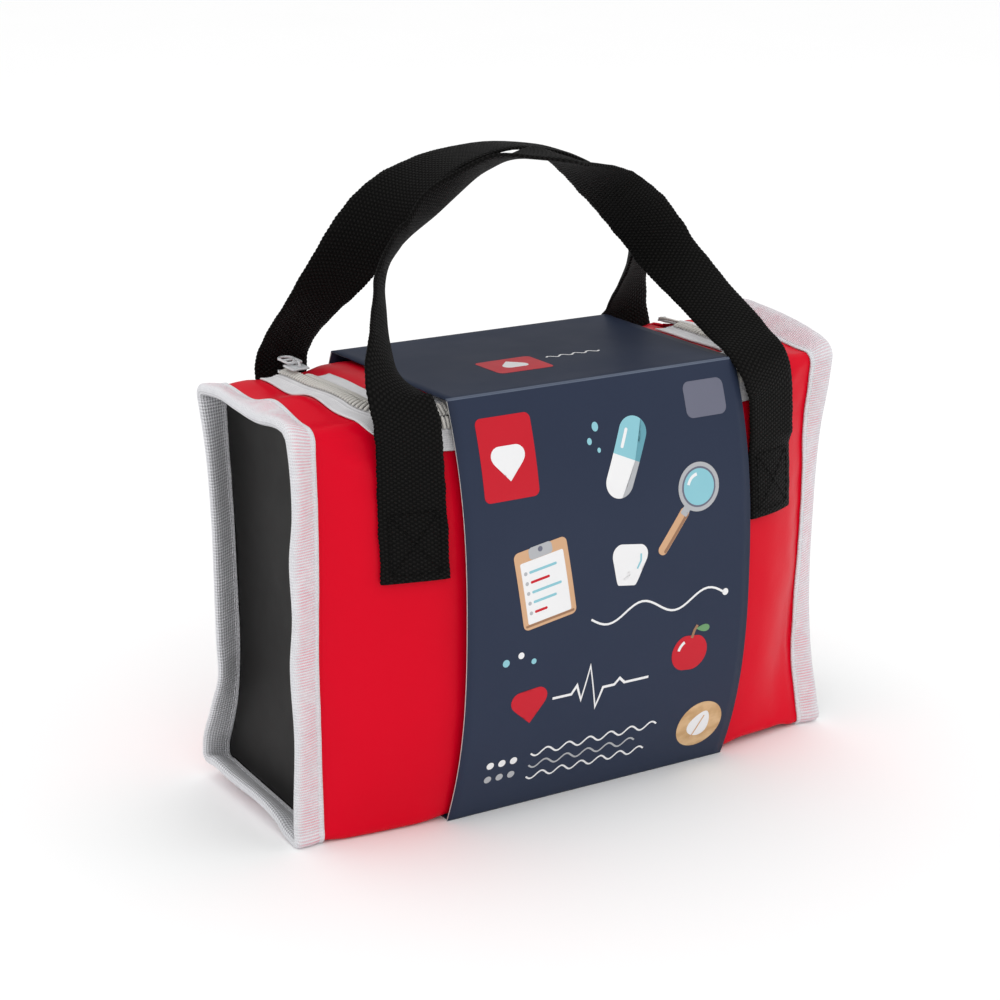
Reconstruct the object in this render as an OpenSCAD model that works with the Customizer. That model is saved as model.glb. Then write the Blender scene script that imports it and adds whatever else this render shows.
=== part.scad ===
// Toy doctor case: a soft vinyl box on flat end panels, closed by a zip that runs
// round three sides of its lid, with two webbing handles and a card sleeve round it.
// Length runs along X, the front faces -Y, and the case stands on Z = 0.

/* [Case] */
// Length of the red body between the two end panels
case_length = 235; // [200:1:280]
// Depth of the end panels
case_depth = 79; // [70:1:100]
// Height of the case above the floor
case_height = 170; // [150:1:210]
// Thickness of the red vinyl
vinyl_t = 1.4; // [1:0.1:2]
// Radius of the folds along the long edges
fold_r = 5; // [3:0.5:8]
// How much deeper the case is at mid length than at its ends, on each side
belly = 6; // [0:0.5:9]
// How far the front face swells out at mid height
front_swell = 14; // [6:0.5:18]
// How far the rear face swells out at mid height
rear_swell = 14; // [6:0.5:18]
// How far the end panels swell out at mid height
end_swell = 3; // [0:0.5:5]
// How far the slack ends pull in at mid height on the front side
front_pinch = 5; // [0:0.5:8]
// How far the slack ends pull in at mid height on the rear side
rear_pinch = 9; // [0:0.5:13]
// How far the lid crowns up at mid length
crown = 4.4; // [1:0.2:6]

/* [End panels] */
// Width of the bound edge that stands out past each end panel
flange_w = 13; // [8:0.5:18]
// Thickness of the black end panel
panel_t = 1.2; // [0.8:0.1:2]
// Thickness of the binding tape
binding_t = 0.7; // [0.5:0.1:1.2]
// Thickness of the stiffening board inside the base
board_t = 2; // [1:0.5:4]

/* [Zip] */
// Distance of the zip's side runs from mid length
zip_x = 92; // [86:1:98]
// Drop of the zip's front run below the top of the case
zip_drop = 2; // [1:0.5:4.5]
// Radius of the zip's two front corners
zip_r = 17; // [14:1:26]
// Width of one half of the zip tape
tape_w = 12; // [9:0.5:13]
// Thickness of the zip tape
tape_t = 0.8; // [0.6:0.1:1.2]
// Pitch of the teeth
tooth_pitch = 2.5; // [2:0.25:4]
// Width of one row of teeth
tooth_w = 1.9; // [1.5:0.1:2.5]
// Height of the teeth above the tape
tooth_h = 1.1; // [0.9:0.1:1.3]
// Length of the slider
slider_l = 9; // [7:0.5:12]
// How far the slider runs along the straight side of the zip
slider_travel = 38; // [20:1:40]
// Length of the pull
pull_l = 12; // [9:0.5:18]

/* [Handles] */
// Width of the webbing
webbing_w = 28; // [24:1:30]
// Thickness of the webbing
webbing_t = 1.8; // [1.2:0.1:2.4]
// Distance of each handle leg's middle from mid length
leg_x = 86; // [86:0.5:94]
// Height of the sewn legs' lower ends
leg_bottom = 108; // [90:1:112]
// Height at which the handles come free of the case
leg_top = 138; // [134:1:150]
// Rise of the handles above their legs
handle_rise = 84; // [70:1:110]
// How far the front handle leans back over the lid
front_lean = 54.5; // [46:0.5:55]
// How far the rear handle leans forward over the lid
rear_lean = 33; // [24:1:34]

/* [Card sleeve] */
// Width of the card sleeve along the case
sleeve_w = 137; // [100:1:140]
// Offset of the sleeve to the right of mid length
sleeve_x = 2.5; // [-3:0.5:3]
// Thickness of the card
card_t = 0.6; // [0.4:0.1:1]
// Height of the sleeve's top crease above the case
sleeve_rise = 5.6; // [5.6:0.2:8]
// How far the sleeve's creases stand out past the case at mid length
crease_out = 0.6; // [0.4:0.2:2]

/* [Toys inside] */
// Length of the tongue depressor
depressor_l = 112; // [90:1:114]
// Length of the thermometer
thermometer_l = 104; // [80:1:106]
// Height of the medicine bottle
bottle_h = 80; // [60:1:90]
// Length of the reflex hammer
hammer_l = 128; // [100:1:130]
// Length of the syringe barrel
barrel_l = 66; // [50:1:70]
// How far the plunger moves
plunger_travel = 24; // [10:1:30]
// Length of the otoscope
otoscope_l = 66; // [50:1:68]
// Length of the stethoscope's wooden arms
stethoscope_l = 118; // [90:1:120]

/* [Hidden] */

layer_gap = 0.1; // between two layers that are sewn together
part_gap = 0.3; // between pieces on different bodies
base_z = binding_t + layer_gap; // underside of the red body
half_depth = case_depth / 2;
end_x = case_length / 2;
tip_x = end_x + flange_w; // outer edge of the binding
rim_x = tip_x - binding_t - layer_gap; // edge of the vinyl inside the binding
girth_power = 4;
swell_power = 2.5;
crown_power = 6;
fold_steps = 3;

// ---- The skin: one function puts a point of the end outline on the swelling body ----

function clamp01(v) = max(0, min(1, v));
// 1 at mid length, 0 at the end panels
function girth(x) = 1 - pow(clamp01(abs(x) / end_x), girth_power);
// 1 at mid height, 0 at the floor and the top
function swell(z) = 1 - pow(abs(2 * clamp01((z - base_z) / (case_height - base_z)) - 1), swell_power);
function side_swell(y) = y < 0 ? front_swell : rear_swell;
function pinch(x, y) = (y < 0 ? front_pinch : rear_pinch) * pow(1 - girth(x), 2);
function spread(x, y, z) =
    belly * girth(x) + (end_swell + (side_swell(y) - end_swell) * girth(x) - pinch(x, y)) * swell(z);
mid_z = (case_height + base_z) / 2;
function lift(x, y, z) =
    crown * girth(x) * (1 - pow(clamp01(abs(y) / half_depth), crown_power))
    * pow(clamp01((z - mid_z) / (case_height - mid_z)), 8);
function skin(x, q) = [x, q[0] * (1 + spread(x, q[0], q[1]) / half_depth), q[1] + lift(x, q[0], q[1])];

// The outline of the end, moved inwards by d
function corner(cy, cz, r, from) =
    [for (k = [0:fold_steps]) let (a = from + 90 * k / fold_steps) [cy + r * cos(a), cz + r * sin(a)]];
function between(a, b, n) = [for (k = [1:n - 1]) a + (b - a) * k / n];
function outline(d) =
    let (y = half_depth - fold_r, low = base_z + fold_r, high = case_height - fold_r, r = fold_r - d)
    concat(
        corner(y, high, r, 0),
        between([y, high + r], [-y, high + r], 6),
        corner(-y, high, r, 90),
        between([-y - r, high], [-y - r, low], 8),
        corner(-y, low, r, 180),
        [[0, low - r]],
        corner(y, low, r, 270),
        between([y + r, low], [y + r, high], 8));

// A point on the skin by its distance s from the top's middle, measured over the front fold
fold_start = half_depth - fold_r;
fold_end = fold_start + fold_r * PI / 2;
function over_front(s, out) =
    s <= fold_start ? [-s, case_height + out]
    : s <= fold_end ? let (a = 90 * (s - fold_start) / (fold_end - fold_start))
        [-fold_start - (fold_r + out) * sin(a), case_height - fold_r + (fold_r + out) * cos(a)]
    : [-half_depth - out, case_height - fold_r - (s - fold_end)];
function on_skin(x, s, out) = skin(x, over_front(s, out));

// ---- Solids from rows of points ----

// A closed solid between two grids of points, the first one on the outside
module slab(outer, inner) {
    n = len(outer);
    m = len(outer[0]);
    function a(i, j) = i * m + j;
    function b(i, j) = n * m + i * m + j;
    polyhedron(
        points = concat([for (row = outer) for (p = row) p], [for (row = inner) for (p = row) p]),
        faces = concat(
            [for (i = [0:n - 2]) for (j = [0:m - 2]) [a(i, j), a(i + 1, j), a(i + 1, j + 1)]],
            [for (i = [0:n - 2]) for (j = [0:m - 2]) [a(i, j), a(i + 1, j + 1), a(i, j + 1)]],
            [for (i = [0:n - 2]) for (j = [0:m - 2]) [b(i, j), b(i + 1, j + 1), b(i + 1, j)]],
            [for (i = [0:n - 2]) for (j = [0:m - 2]) [b(i, j), b(i, j + 1), b(i + 1, j + 1)]],
            [for (i = [0:n - 2]) [a(i, 0), b(i, 0), b(i + 1, 0)]],
            [for (i = [0:n - 2]) [a(i, 0), b(i + 1, 0), a(i + 1, 0)]],
            [for (i = [0:n - 2]) [a(i, m - 1), b(i + 1, m - 1), b(i, m - 1)]],
            [for (i = [0:n - 2]) [a(i, m - 1), a(i + 1, m - 1), b(i + 1, m - 1)]],
            [for (j = [0:m - 2]) [a(0, j), a(0, j + 1), b(0, j + 1)]],
            [for (j = [0:m - 2]) [a(0, j), b(0, j + 1), b(0, j)]],
            [for (j = [0:m - 2]) [a(n - 1, j), b(n - 1, j + 1), a(n - 1, j + 1)]],
            [for (j = [0:m - 2]) [a(n - 1, j), b(n - 1, j), b(n - 1, j + 1)]]));
}

// A closed solid through rings of equally many points
module loft(rings) {
    n = len(rings);
    m = len(rings[0]);
    function at(i, j) = i * m + j % m;
    polyhedron(
        points = [for (ring = rings) for (p = ring) p],
        faces = concat(
            [for (i = [0:n - 2]) for (j = [0:m - 1]) [at(i, j), at(i + 1, j), at(i + 1, j + 1)]],
            [for (i = [0:n - 2]) for (j = [0:m - 1]) [at(i, j), at(i + 1, j + 1), at(i, j + 1)]],
            [[for (j = [0:m - 1]) j]],
            [[for (j = [m - 1:-1:0]) at(n - 1, j)]]));
}

// A prism along X from an outline in Y and Z
module along_x(from, to) {
    translate([from, 0, 0])
        rotate([90, 0, 90])
            linear_extrude(height = to - from)
                children();
}

module mirror_x(on) {
    mirror([on ? 1 : 0, 0, 0])
        children();
}

// ---- The vinyl body ----

station_steps = [1, 0.972, 0.935, 0.875, 0.775, 0.62, 0.41, 0.17];
stations = concat(
    [for (k = station_steps) -end_x * k],
    [for (i = [len(station_steps) - 1:-1:0]) end_x * station_steps[i]]);

module body_solid(d, over) {
    ends = concat([-rim_x - over], stations, [rim_x + over]);
    loft([for (x = ends) [for (q = outline(d)) skin(x, q)]]);
}

module body_shell() {
    difference() {
        body_solid(0, 0);
        body_solid(vinyl_t, 1);
    }
}

hinge_y = half_depth - fold_r;
zip_front_s = fold_start + fold_r * acos((fold_r - zip_drop) / fold_r) * PI / 180;
zip_slot = 4.2; // from the zip's middle to the cut edge of the vinyl

// The lid's outline in plan, moved outwards by d, cut down to the zip's front run
module lid_cut(d) {
    reach = 2 * case_depth;
    corner_y = -(zip_front_s - zip_r);
    bottom = case_height - zip_drop - d;
    translate([0, 0, bottom])
        linear_extrude(height = reach) {
            translate([zip_r - zip_x, -reach])
                square([2 * (zip_x - zip_r), reach + hinge_y]);
            translate([-zip_x - d, corner_y])
                square([2 * (zip_x + d), hinge_y - corner_y]);
            for (side = [-1, 1])
                translate([side * (zip_x - zip_r), corner_y])
                    circle(r = zip_r + d, $fn = 64);
        }
}

module vinyl_wrap() {
    color("crimson")
        difference() {
            body_shell();
            lid_cut(zip_slot);
        }
}

module lid_panel() {
    color("crimson")
        difference() {
            intersection() {
                body_shell();
                lid_cut(-zip_slot);
            }
            translate([-case_length, hinge_y - part_gap, 0])
                cube([2 * case_length, part_gap + 1, 2 * case_height]);
        }
}

// ---- End panels, binding and base board ----

module ring(out_d, in_d, from, to) {
    along_x(from, to)
        difference() {
            end_outline(out_d);
            end_outline(in_d);
        }
}

module end_outline(d) {
    polygon([for (q = outline(d)) let (p = skin(end_x, q)) [p[1], p[2]]]);
}

panel_d = vinyl_t + layer_gap; // from the skin to the end panel's turned edge
lining_d = panel_d + panel_t + layer_gap; // from the skin to the binding's inner leg

module end_panel(left) {
    color("#2a2828")
        mirror_x(left) {
            along_x(end_x - panel_t, end_x)
                end_outline(panel_d);
            ring(panel_d, panel_d + panel_t, end_x, rim_x);
        }
}

module binding(left) {
    color("gainsboro")
        mirror_x(left) {
            ring(-layer_gap - binding_t, -layer_gap, end_x + 1, tip_x);
            ring(lining_d, lining_d + binding_t, end_x + 1, tip_x);
            ring(-layer_gap, lining_d, tip_x - binding_t, tip_x);
        }
}

floor_z = base_z + vinyl_t + layer_gap;
board_in = panel_t + 1; // from the end to the board's end

module base_board() {
    inset = fold_r;
    color("tan")
        translate([-end_x + board_in, -half_depth + inset, floor_z])
            cube([2 * (end_x - board_in), case_depth - 2 * inset, board_t]);
}

// ---- Zip ----

tape_out = 2 * layer_gap; // the tape lies on the vinyl
teeth_out = tape_out + tape_t + 2 * layer_gap;
row_gap = 0.8; // from the zip's middle to each row of teeth
zip_rear_s = -(hinge_y - part_gap - 1); // where the zip ends, before the hinge
park_l = slider_l + 5; // the lid's half of the zip stops short of the parked slider
lid_zip_s = zip_rear_s + park_l;
corner_s = zip_front_s - zip_r;

// Places along the zip: its left run, its left front corner and half its front run
function zip_left(start) = concat(
    [for (s = [start:(corner_s - start) / 12:corner_s - 0.01]) [-zip_x, s, 0]],
    [for (a = [0:5:90]) [-zip_x + zip_r * (1 - cos(a)), corner_s + zip_r * sin(a), a]],
    [for (k = [0.125:0.125:0.9]) [-(zip_x - zip_r) * (1 - k), zip_front_s, 90]]);
function zip_right(start) = let (half = zip_left(start))
    [for (i = [len(half) - 1:-1:0]) [-half[i][0], half[i][1], 180 - half[i][2]]];
function zip_line(start) = concat(zip_left(start), [[0, zip_front_s, 90]], zip_right(start));
// A point beside the zip: side runs outwards from the lid
function beside_zip(p, side, out) =
    on_skin(p[0] - side * cos(p[2]), p[1] + side * sin(p[2]), out);

module tape(line, from, to) {
    steps = [for (k = [0:10]) from + (to - from) * k / 10];
    top = [for (p = line) [for (d = steps) beside_zip(p, d, tape_out + tape_t)]];
    bottom = [for (p = line) [for (d = steps) beside_zip(p, d, tape_out)]];
    if (to > from)
        slab(bottom, top);
    else
        slab(top, bottom);
}

module zip_tape_case() {
    color("whitesmoke")
        tape(zip_line(zip_rear_s), row_gap, tape_w);
}

module zip_tape_lid() {
    color("whitesmoke")
        tape(zip_line(lid_zip_s), -row_gap, -tape_w);
}

// One row of teeth, each a small block that follows the zip's line
tooth_fill = 0.62; // share of the pitch that a tooth takes
side_run = corner_s - zip_rear_s;
corner_run = zip_r * PI / 2;
half_run = side_run + corner_run + zip_x - zip_r;
function zip_at(t) =
    t <= side_run ? [-zip_x, zip_rear_s + t, 0]
    : t <= side_run + corner_run ? let (a = (t - side_run) / zip_r * 180 / PI)
        [-zip_x + zip_r * (1 - cos(a)), corner_s + zip_r * sin(a), a]
    : [-zip_x + zip_r + (t - side_run - corner_run), zip_front_s, 90];

module tooth(t, from, to) {
    l = tooth_pitch * tooth_fill;
    p = zip_at(t - l / 2);
    q = zip_at(t + l / 2);
    top = [for (e = [p, q]) [for (d = [from, to]) beside_zip(e, d, teeth_out + tooth_h)]];
    bottom = [for (e = [p, q]) [for (d = [from, to]) beside_zip(e, d, teeth_out)]];
    if (to > from)
        slab(bottom, top);
    else
        slab(top, bottom);
}

module teeth(start, from, to) {
    for (t = [start + tooth_pitch:tooth_pitch:half_run - tooth_pitch / 2])
        for (right = [false, true])
            mirror_x(right)
                tooth(t, from, to);
}

module zip_teeth_case() {
    color("white")
        teeth(0, row_gap, row_gap + tooth_w);
}

module zip_teeth_lid() {
    color("white")
        teeth(park_l, -row_gap, -row_gap - tooth_w);
}

// The zip's height above the floor along its straight side runs
zip_z = skin(-zip_x, [hinge_y / 2, case_height])[2] + teeth_out;

module zip_end_stops() {
    stop_l = 1.4;
    p = beside_zip([-zip_x, zip_rear_s, 0], row_gap, teeth_out);
    front = beside_zip([-zip_x, zip_rear_s + stop_l, 0], row_gap, teeth_out);
    color("silver")
        for (right = [false, true])
            mirror_x(right)
                translate([p[0] - tooth_w, p[1] - stop_l, front[2] + layer_gap])
                    cube([tooth_w, stop_l, tooth_h]);
}

// ---- Slider and pull ----

slider_w = 8;
plate_t = 1;
slider_y = -zip_rear_s - 1.2 - slider_l / 2;
plate_z = zip_z + tooth_h + part_gap; // underside of the slider's upper plate
under_z = zip_z - teeth_out - vinyl_t - 1; // top of the slider's lower plate
bridge_h = 2.6;
pin_r = 0.6;
pivot_z = plate_z + plate_t + bridge_h - pin_r - 0.9;

module zip_slider() {
    post_w = 1;
    lip = 0.8;
    color("whitesmoke")
        translate([-zip_x, slider_y, 0]) {
            translate([-slider_w / 2, -slider_l / 2, plate_z])
                cube([slider_w, slider_l, plate_t]);
            translate([-slider_w / 2 + lip, -slider_l / 2, under_z - plate_t])
                cube([slider_w - 2 * lip, slider_l, plate_t]);
            translate([-post_w / 2, slider_l / 2 - 2.4, under_z - plate_t])
                cube([post_w, 2.4, plate_z - under_z + plate_t + 0.1]);
            // bridge over the pull's pin
            difference() {
                translate([-1.5, -slider_l / 2 + 1, plate_z + plate_t])
                    cube([3, slider_l - 2, bridge_h]);
                translate([-2, -slider_l / 2 + 2, plate_z + plate_t])
                    cube([4, slider_l - 4, bridge_h - 0.9]);
            }
        }
}

pull_y = slider_y + slider_l / 2 - 2.2 - pin_r - part_gap; // the pull's pin, near the bridge's rear foot
module zip_pull() {
    plate_w = 5.4;
    arm_w = 0.9;
    ring_r = plate_w / 2;
    color("white")
        translate([-zip_x, pull_y, pivot_z]) {
            rotate([0, 90, 0])
                cylinder(r = pin_r, h = plate_w + 2 * arm_w, center = true, $fn = 24);
            for (side = [-1, 1])
                translate([side * (plate_w + arm_w) / 2 - arm_w / 2, 0, -pin_r])
                    cube([arm_w, pull_l / 2, 2 * pin_r]);
            translate([0, pull_l / 2 + ring_r - 1, -pin_r])
                difference() {
                    cylinder(r = ring_r + arm_w, h = 2 * pin_r, $fn = 48);
                    translate([0, 0, -1])
                        cylinder(r = ring_r - 0.6, h = 4, $fn = 48);
                }
        }
}

// ---- Handles ----

tab_gap = 0.2; // from the skin to the sewn webbing
strap_out = tab_gap + webbing_t;
tab_rows = 6;

module handle_tabs(side) {
    zs = [for (k = [0:tab_rows]) leg_bottom + (leg_top - part_gap - leg_bottom) * k / tab_rows];
    for (x = [-leg_x, leg_x]) {
        xs = [for (k = [0:4]) x + webbing_w * (k / 4 - 0.5)];
        out = [for (z = zs) [for (u = xs) skin(u, [side * (half_depth + strap_out), z])]];
        flat = [for (z = zs) [for (u = xs) skin(u, [side * (half_depth + tab_gap), z])]];
        if (side < 0)
            slab(out, flat);
        else
            slab(flat, out);
    }
}

module front_handle_tabs() {
    color("#151412")
        handle_tabs(-1);
}

module rear_handle_tabs() {
    color("#151412")
        handle_tabs(1);
}

// Stitches: a box with a cross in it on each sewn leg
stitch_l = 2.4;
stitch_out = strap_out + 0.3;
box_w = webbing_w - 8;
box_h = leg_top - leg_bottom - 6;
function line_points(a, b) =
    let (n = round(norm(b - a) / (1.5 * stitch_l))) [for (k = [0.5:1:n]) a + (b - a) * k / n];

module stitch_line(side, x, a, b) {
    dir = (b - a) / norm(b - a);
    for (p = line_points(a, b)) {
        foot = p - dir * stitch_l / 2;
        tip = p + dir * stitch_l / 2;
        wide = [-dir[1], dir[0]] * 0.35;
        corners = [for (e = [foot, tip]) [for (k = [-1, 1]) e + wide * k]];
        out = [for (row = corners) [for (q = row)
            skin(x + q[0], [side * (half_depth + stitch_out + 0.3), q[1]])]];
        flat = [for (row = corners) [for (q = row) skin(x + q[0], [side * (half_depth + stitch_out), q[1]])]];
        if (side < 0)
            slab(flat, out);
        else
            slab(out, flat);
    }
}

module handle_stitches() {
    low = leg_bottom + 3;
    a = [-box_w / 2, low];
    b = [box_w / 2, low];
    c = [box_w / 2, low + box_h];
    d = [-box_w / 2, low + box_h];
    color("black")
        for (side = [-1, 1])
            for (x = [-leg_x, leg_x]) {
                stitch_line(side, x, a, b);
                stitch_line(side, x, b, c);
                stitch_line(side, x, c, d);
                stitch_line(side, x, d, a);
            }
}

// The free part of a handle: two short legs and an arch between them
free_gap = 0.4; // from the skin to the free webbing where it leaves the sewn leg
arch_bottom = case_height + 4; // where the legs start to lean over the lid
function foot_y(side, x) = skin(x, [side * (half_depth + free_gap + webbing_t / 2), leg_top])[1];
inner_x = leg_x - webbing_w / 2;
outer_x = leg_x + webbing_w / 2;
front_hinge_y = foot_y(-1, inner_x) - webbing_t / 2;
rear_hinge_y = foot_y(1, inner_x) + webbing_t / 2;
// the free webbing starts parallel to the sewn leg under it, which follows the belly
function foot_turn(side) = -atan2(abs(foot_y(side, inner_x) - foot_y(side, outer_x)), webbing_w);
// Knots of each handle from its left leg to its right one: place along X, lean over the lid
// and rise as shares of leg_x, the lean and handle_rise, then the webbing's turn about its own length
front_knots = [
    [-1, -0.024, -0.19, -10], [-1.006, -0.022, -0.095, -8], [-1.012, 0, 0, -3],
    [-1.012, 0.083, 0.071, 3], [-0.984, 0.275, 0.155, 14], [-0.919, 0.523, 0.25, 28],
    [-0.841, 0.734, 0.345, 38], [-0.777, 0.881, 0.429, 44], [-0.703, 0.972, 0.512, 49],
    [-0.622, 1, 0.595, 54], [-0.541, 1, 0.667, 59], [-0.43, 0.982, 0.75, 65],
    [-0.326, 0.954, 0.821, 71], [-0.198, 0.899, 0.893, 77], [-0.058, 0.844, 0.952, 84],
    [0.07, 0.807, 0.976, 87], [0.174, 0.844, 0.952, 78], [0.326, 0.899, 0.893, 66],
    [0.459, 0.954, 0.821, 56], [0.558, 0.982, 0.75, 47], [0.657, 1, 0.667, 36],
    [0.727, 1, 0.595, 27], [0.791, 0.972, 0.512, 16], [0.843, 0.881, 0.429, 2],
    [0.895, 0.734, 0.345, -5], [0.948, 0.523, 0.25, -9], [0.986, 0.275, 0.155, -11],
    [1, 0.083, 0.071, -12], [1, 0, 0, -12], [1, -0.022, -0.095, -12],
    [1, -0.024, -0.19, -12]];
rear_knots = [
    [-1, 0.045, -0.19, -10], [-1, 0.009, -0.095, -12], [-0.994, -0, 0, -12],
    [-0.983, 0.076, 0.071, -12], [-0.965, 0.212, 0.155, -12], [-0.936, 0.409, 0.25, -9],
    [-0.901, 0.591, 0.345, -3], [-0.86, 0.727, 0.429, 6], [-0.814, 0.833, 0.512, 16],
    [-0.765, 0.9, 0.595, 26], [-0.715, 0.945, 0.667, 36], [-0.645, 0.979, 0.75, 48],
    [-0.57, 0.991, 0.821, 60], [-0.453, 0.985, 0.893, 74], [-0.279, 0.961, 0.964, 86],
    [-0.006, 0.945, 1.006, 93], [0.273, 0.961, 0.964, 89], [0.448, 0.985, 0.893, 82],
    [0.564, 0.991, 0.821, 75], [0.64, 0.979, 0.75, 68], [0.709, 0.945, 0.667, 62],
    [0.758, 0.9, 0.595, 56], [0.808, 0.833, 0.512, 45], [0.855, 0.727, 0.429, 34],
    [0.893, 0.591, 0.345, 27], [0.924, 0.409, 0.25, 21], [0.953, 0.212, 0.155, 14],
    [0.98, 0.076, 0.071, 9], [0.992, -0, 0, 5], [1, 0.009, -0.095, -2],
    [1, 0.045, -0.19, -8]];
function leg_out(side) = side < 0 ? 6.2 : 9.7; // how far the legs stand off the top fold
function arch_foot_y(side) = side * (abs(skin(leg_x, [side * half_depth, case_height])[1]) + leg_out(side));
function place(side, k) = [
    leg_x * k[0],
    arch_foot_y(side) - side * k[1] * (side < 0 ? front_lean : rear_lean),
    arch_bottom + handle_rise * k[2],
    k[3]];
// Each place is a point and the turn there
function foot(side, x) = [x, foot_y(side, leg_x), leg_top, foot_turn(side)];
function knots(side) = concat(
    [foot(side, -leg_x)],
    [for (k = side < 0 ? front_knots : rear_knots) place(side, k)],
    [foot(side, leg_x)]);
knot_steps = 2;
// a smooth curve through the knots
function smooth(a, b, c, d, t) =
    (b * 2 + (c - a) * t + (a * 2 - b * 5 + c * 4 - d) * (t * t) + (b * 3 - a - c * 3 + d) * (t * t * t)) / 2;
function handle_places(side) = let (q = knots(side), m = len(q) - 1) concat(
    [for (i = [0:m - 1]) for (k = [0:knot_steps - 1])
        smooth(q[max(0, i - 1)], q[i], q[i + 1], q[min(m, i + 2)], k / knot_steps)],
    [q[m]]);

top_reach = 34; // how far along X the level top reaches
narrowing = 0.1; // the free webbing cups a little, which makes it narrower
cup = 1.6; // depth of that hollow
function top_share(p) = exp(-pow(p[0] / top_reach, 2));
function cupping(p) = clamp01((p[2] - case_height) / 25) * (1 - top_share(p));
function unit(v) = v / norm(v);

module handle(side) {
    places = handle_places(side);
    pts = [for (p = places) [p[0], p[1], p[2]]];
    n = len(pts) - 1;
    tangents = [for (i = [0:n]) i == 0 || i == n ? [0, 0, i == 0 ? 1 : -1]
        : unit(pts[i + 1] - pts[i - 1])];
    // across the arch: from the outside of the arch to its inside, and then towards the other handle
    inward = [for (t = tangents) unit(cross([0, 1, 0], t))];
    other = [for (i = [0:n]) cross(tangents[i], inward[i]) * -side];
    wide = [for (i = [0:n]) let (a = places[i][3]) inward[i] * cos(a) + other[i] * sin(a)];
    face = [for (i = [0:n]) cross(wide[i], tangents[i]) * side];
    half = [for (p = pts) webbing_w / 2 * (1 - narrowing * cupping(p))];
    hollow = [for (p = pts) cup * cupping(p)];
    rows = [for (k = [-1, 1]) [for (j = [-1, -0.5, 0, 0.5, 1])
        [for (i = [0:n]) pts[i] + wide[i] * (half[i] * j)
            + face[i] * (webbing_t / 2 * k + hollow[i] * (j * j - 0.4))]]];
    if (side < 0)
        slab(rows[0], rows[1]);
    else
        slab(rows[1], rows[0]);
}

module front_handle() {
    color("#151412")
        handle(-1);
}

module rear_handle() {
    color("#151412")
        handle(1);
}

// ---- Card sleeve ----

crease_y = half_depth + belly + crease_out + card_t;
sleeve_top_z = case_height + sleeve_rise;
card_swell = 1.6; // how much more the card swells than the vinyl under it
card_rows = 16;
function card_side(side, d) = [for (k = [0:card_rows]) let (
        z = sleeve_top_z * k / card_rows,
        bow = 1 - pow(abs(2 * k / card_rows - 1), swell_power),
        out = (side < 0 ? front_swell : rear_swell) + card_swell)
    [side * (crease_y - d + out * bow), max(d, min(z, sleeve_top_z - part_gap - card_t))]];
function flip(list) = [for (i = [len(list) - 1:-1:0]) list[i]];

module sleeve_wrap() {
    color("#383e52")
        along_x(sleeve_x - sleeve_w / 2, sleeve_x + sleeve_w / 2)
            polygon(concat(
                flip(card_side(-1, 0)), card_side(1, 0),
                flip(card_side(1, card_t)), card_side(-1, card_t)));
}

module sleeve_top() {
    color("#383e52")
        translate([sleeve_x - sleeve_w / 2, -crease_y, sleeve_top_z - card_t])
            cube([sleeve_w, 2 * crease_y, card_t]);
}

// ---- Toys inside ----

toy_z = floor_z + board_t + layer_gap;
front_row = -half_depth + fold_r + 6;
left_end = -end_x + panel_t + 4;
right_end = end_x - panel_t - 4;

// A flat strip along X with round ends
module strip(l, w, t) {
    linear_extrude(height = t) {
        translate([w / 2, -w / 2])
            square([l - w, w]);
        for (x = [w / 2, l - w / 2])
            translate([x, 0])
                circle(d = w, $fn = 48);
    }
}

depressor_t = 3;
module tongue_depressor() {
    color("burlywood")
        translate([left_end, front_row, toy_z])
            strip(depressor_l, 16, depressor_t);
}

// lies on the tongue depressor
module thermometer() {
    tip_l = 12;
    color("white")
        translate([left_end + (depressor_l - thermometer_l) / 2, front_row, toy_z + depressor_t + layer_gap]) {
            translate([tip_l - 2, 0, 0])
                strip(thermometer_l - tip_l + 2, 14, 6);
            translate([0, 0, 3])
                rotate([0, 90, 0])
                    cylinder(r = 2, h = tip_l, $fn = 32);
        }
}

mid_row = -7;
flange_r = 14;
barrel_r = 9;
barrel_wall = 1.4;
rod_r = 4;
syringe_z = toy_z + flange_r;
thumb_t = 4;
rod_l = barrel_l * 0.5 + plunger_travel + 8;
barrel_x = left_end + thumb_t + plunger_travel + 6;
nozzle_l = 12;

module syringe_barrel() {
    flange_t = 3;
    color("white")
        translate([barrel_x, mid_row, syringe_z])
            rotate([0, 90, 0])
                difference() {
                    union() {
                        cylinder(r = barrel_r, h = barrel_l, $fn = 64);
                        cylinder(r = flange_r, h = flange_t, $fn = 64);
                        translate([0, 0, barrel_l])
                            cylinder(r1 = barrel_r, r2 = 2.4, h = 5, $fn = 64);
                        translate([0, 0, barrel_l + 5])
                            cylinder(r = 2.4, h = nozzle_l, $fn = 32);
                    }
                    translate([0, 0, -1])
                        cylinder(r = barrel_r - barrel_wall, h = barrel_l - 1, $fn = 64);
                }
}

piston_r = barrel_r - barrel_wall - 0.05;
module syringe_plunger() {
    piston_l = 8;
    color("burlywood")
        translate([barrel_x - plunger_travel - 5, mid_row, syringe_z])
            rotate([0, 90, 0]) {
                cylinder(r = rod_r, h = rod_l, $fn = 48);
                translate([0, 0, rod_l - piston_l])
                    cylinder(r = piston_r, h = piston_l, $fn = 64);
            }
}

module syringe_thumb_disc() {
    color("crimson")
        translate([barrel_x - plunger_travel - 5 - thumb_t - layer_gap, mid_row, syringe_z])
            rotate([0, 90, 0])
                cylinder(r = flange_r - 2, h = thumb_t, $fn = 64);
}

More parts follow.
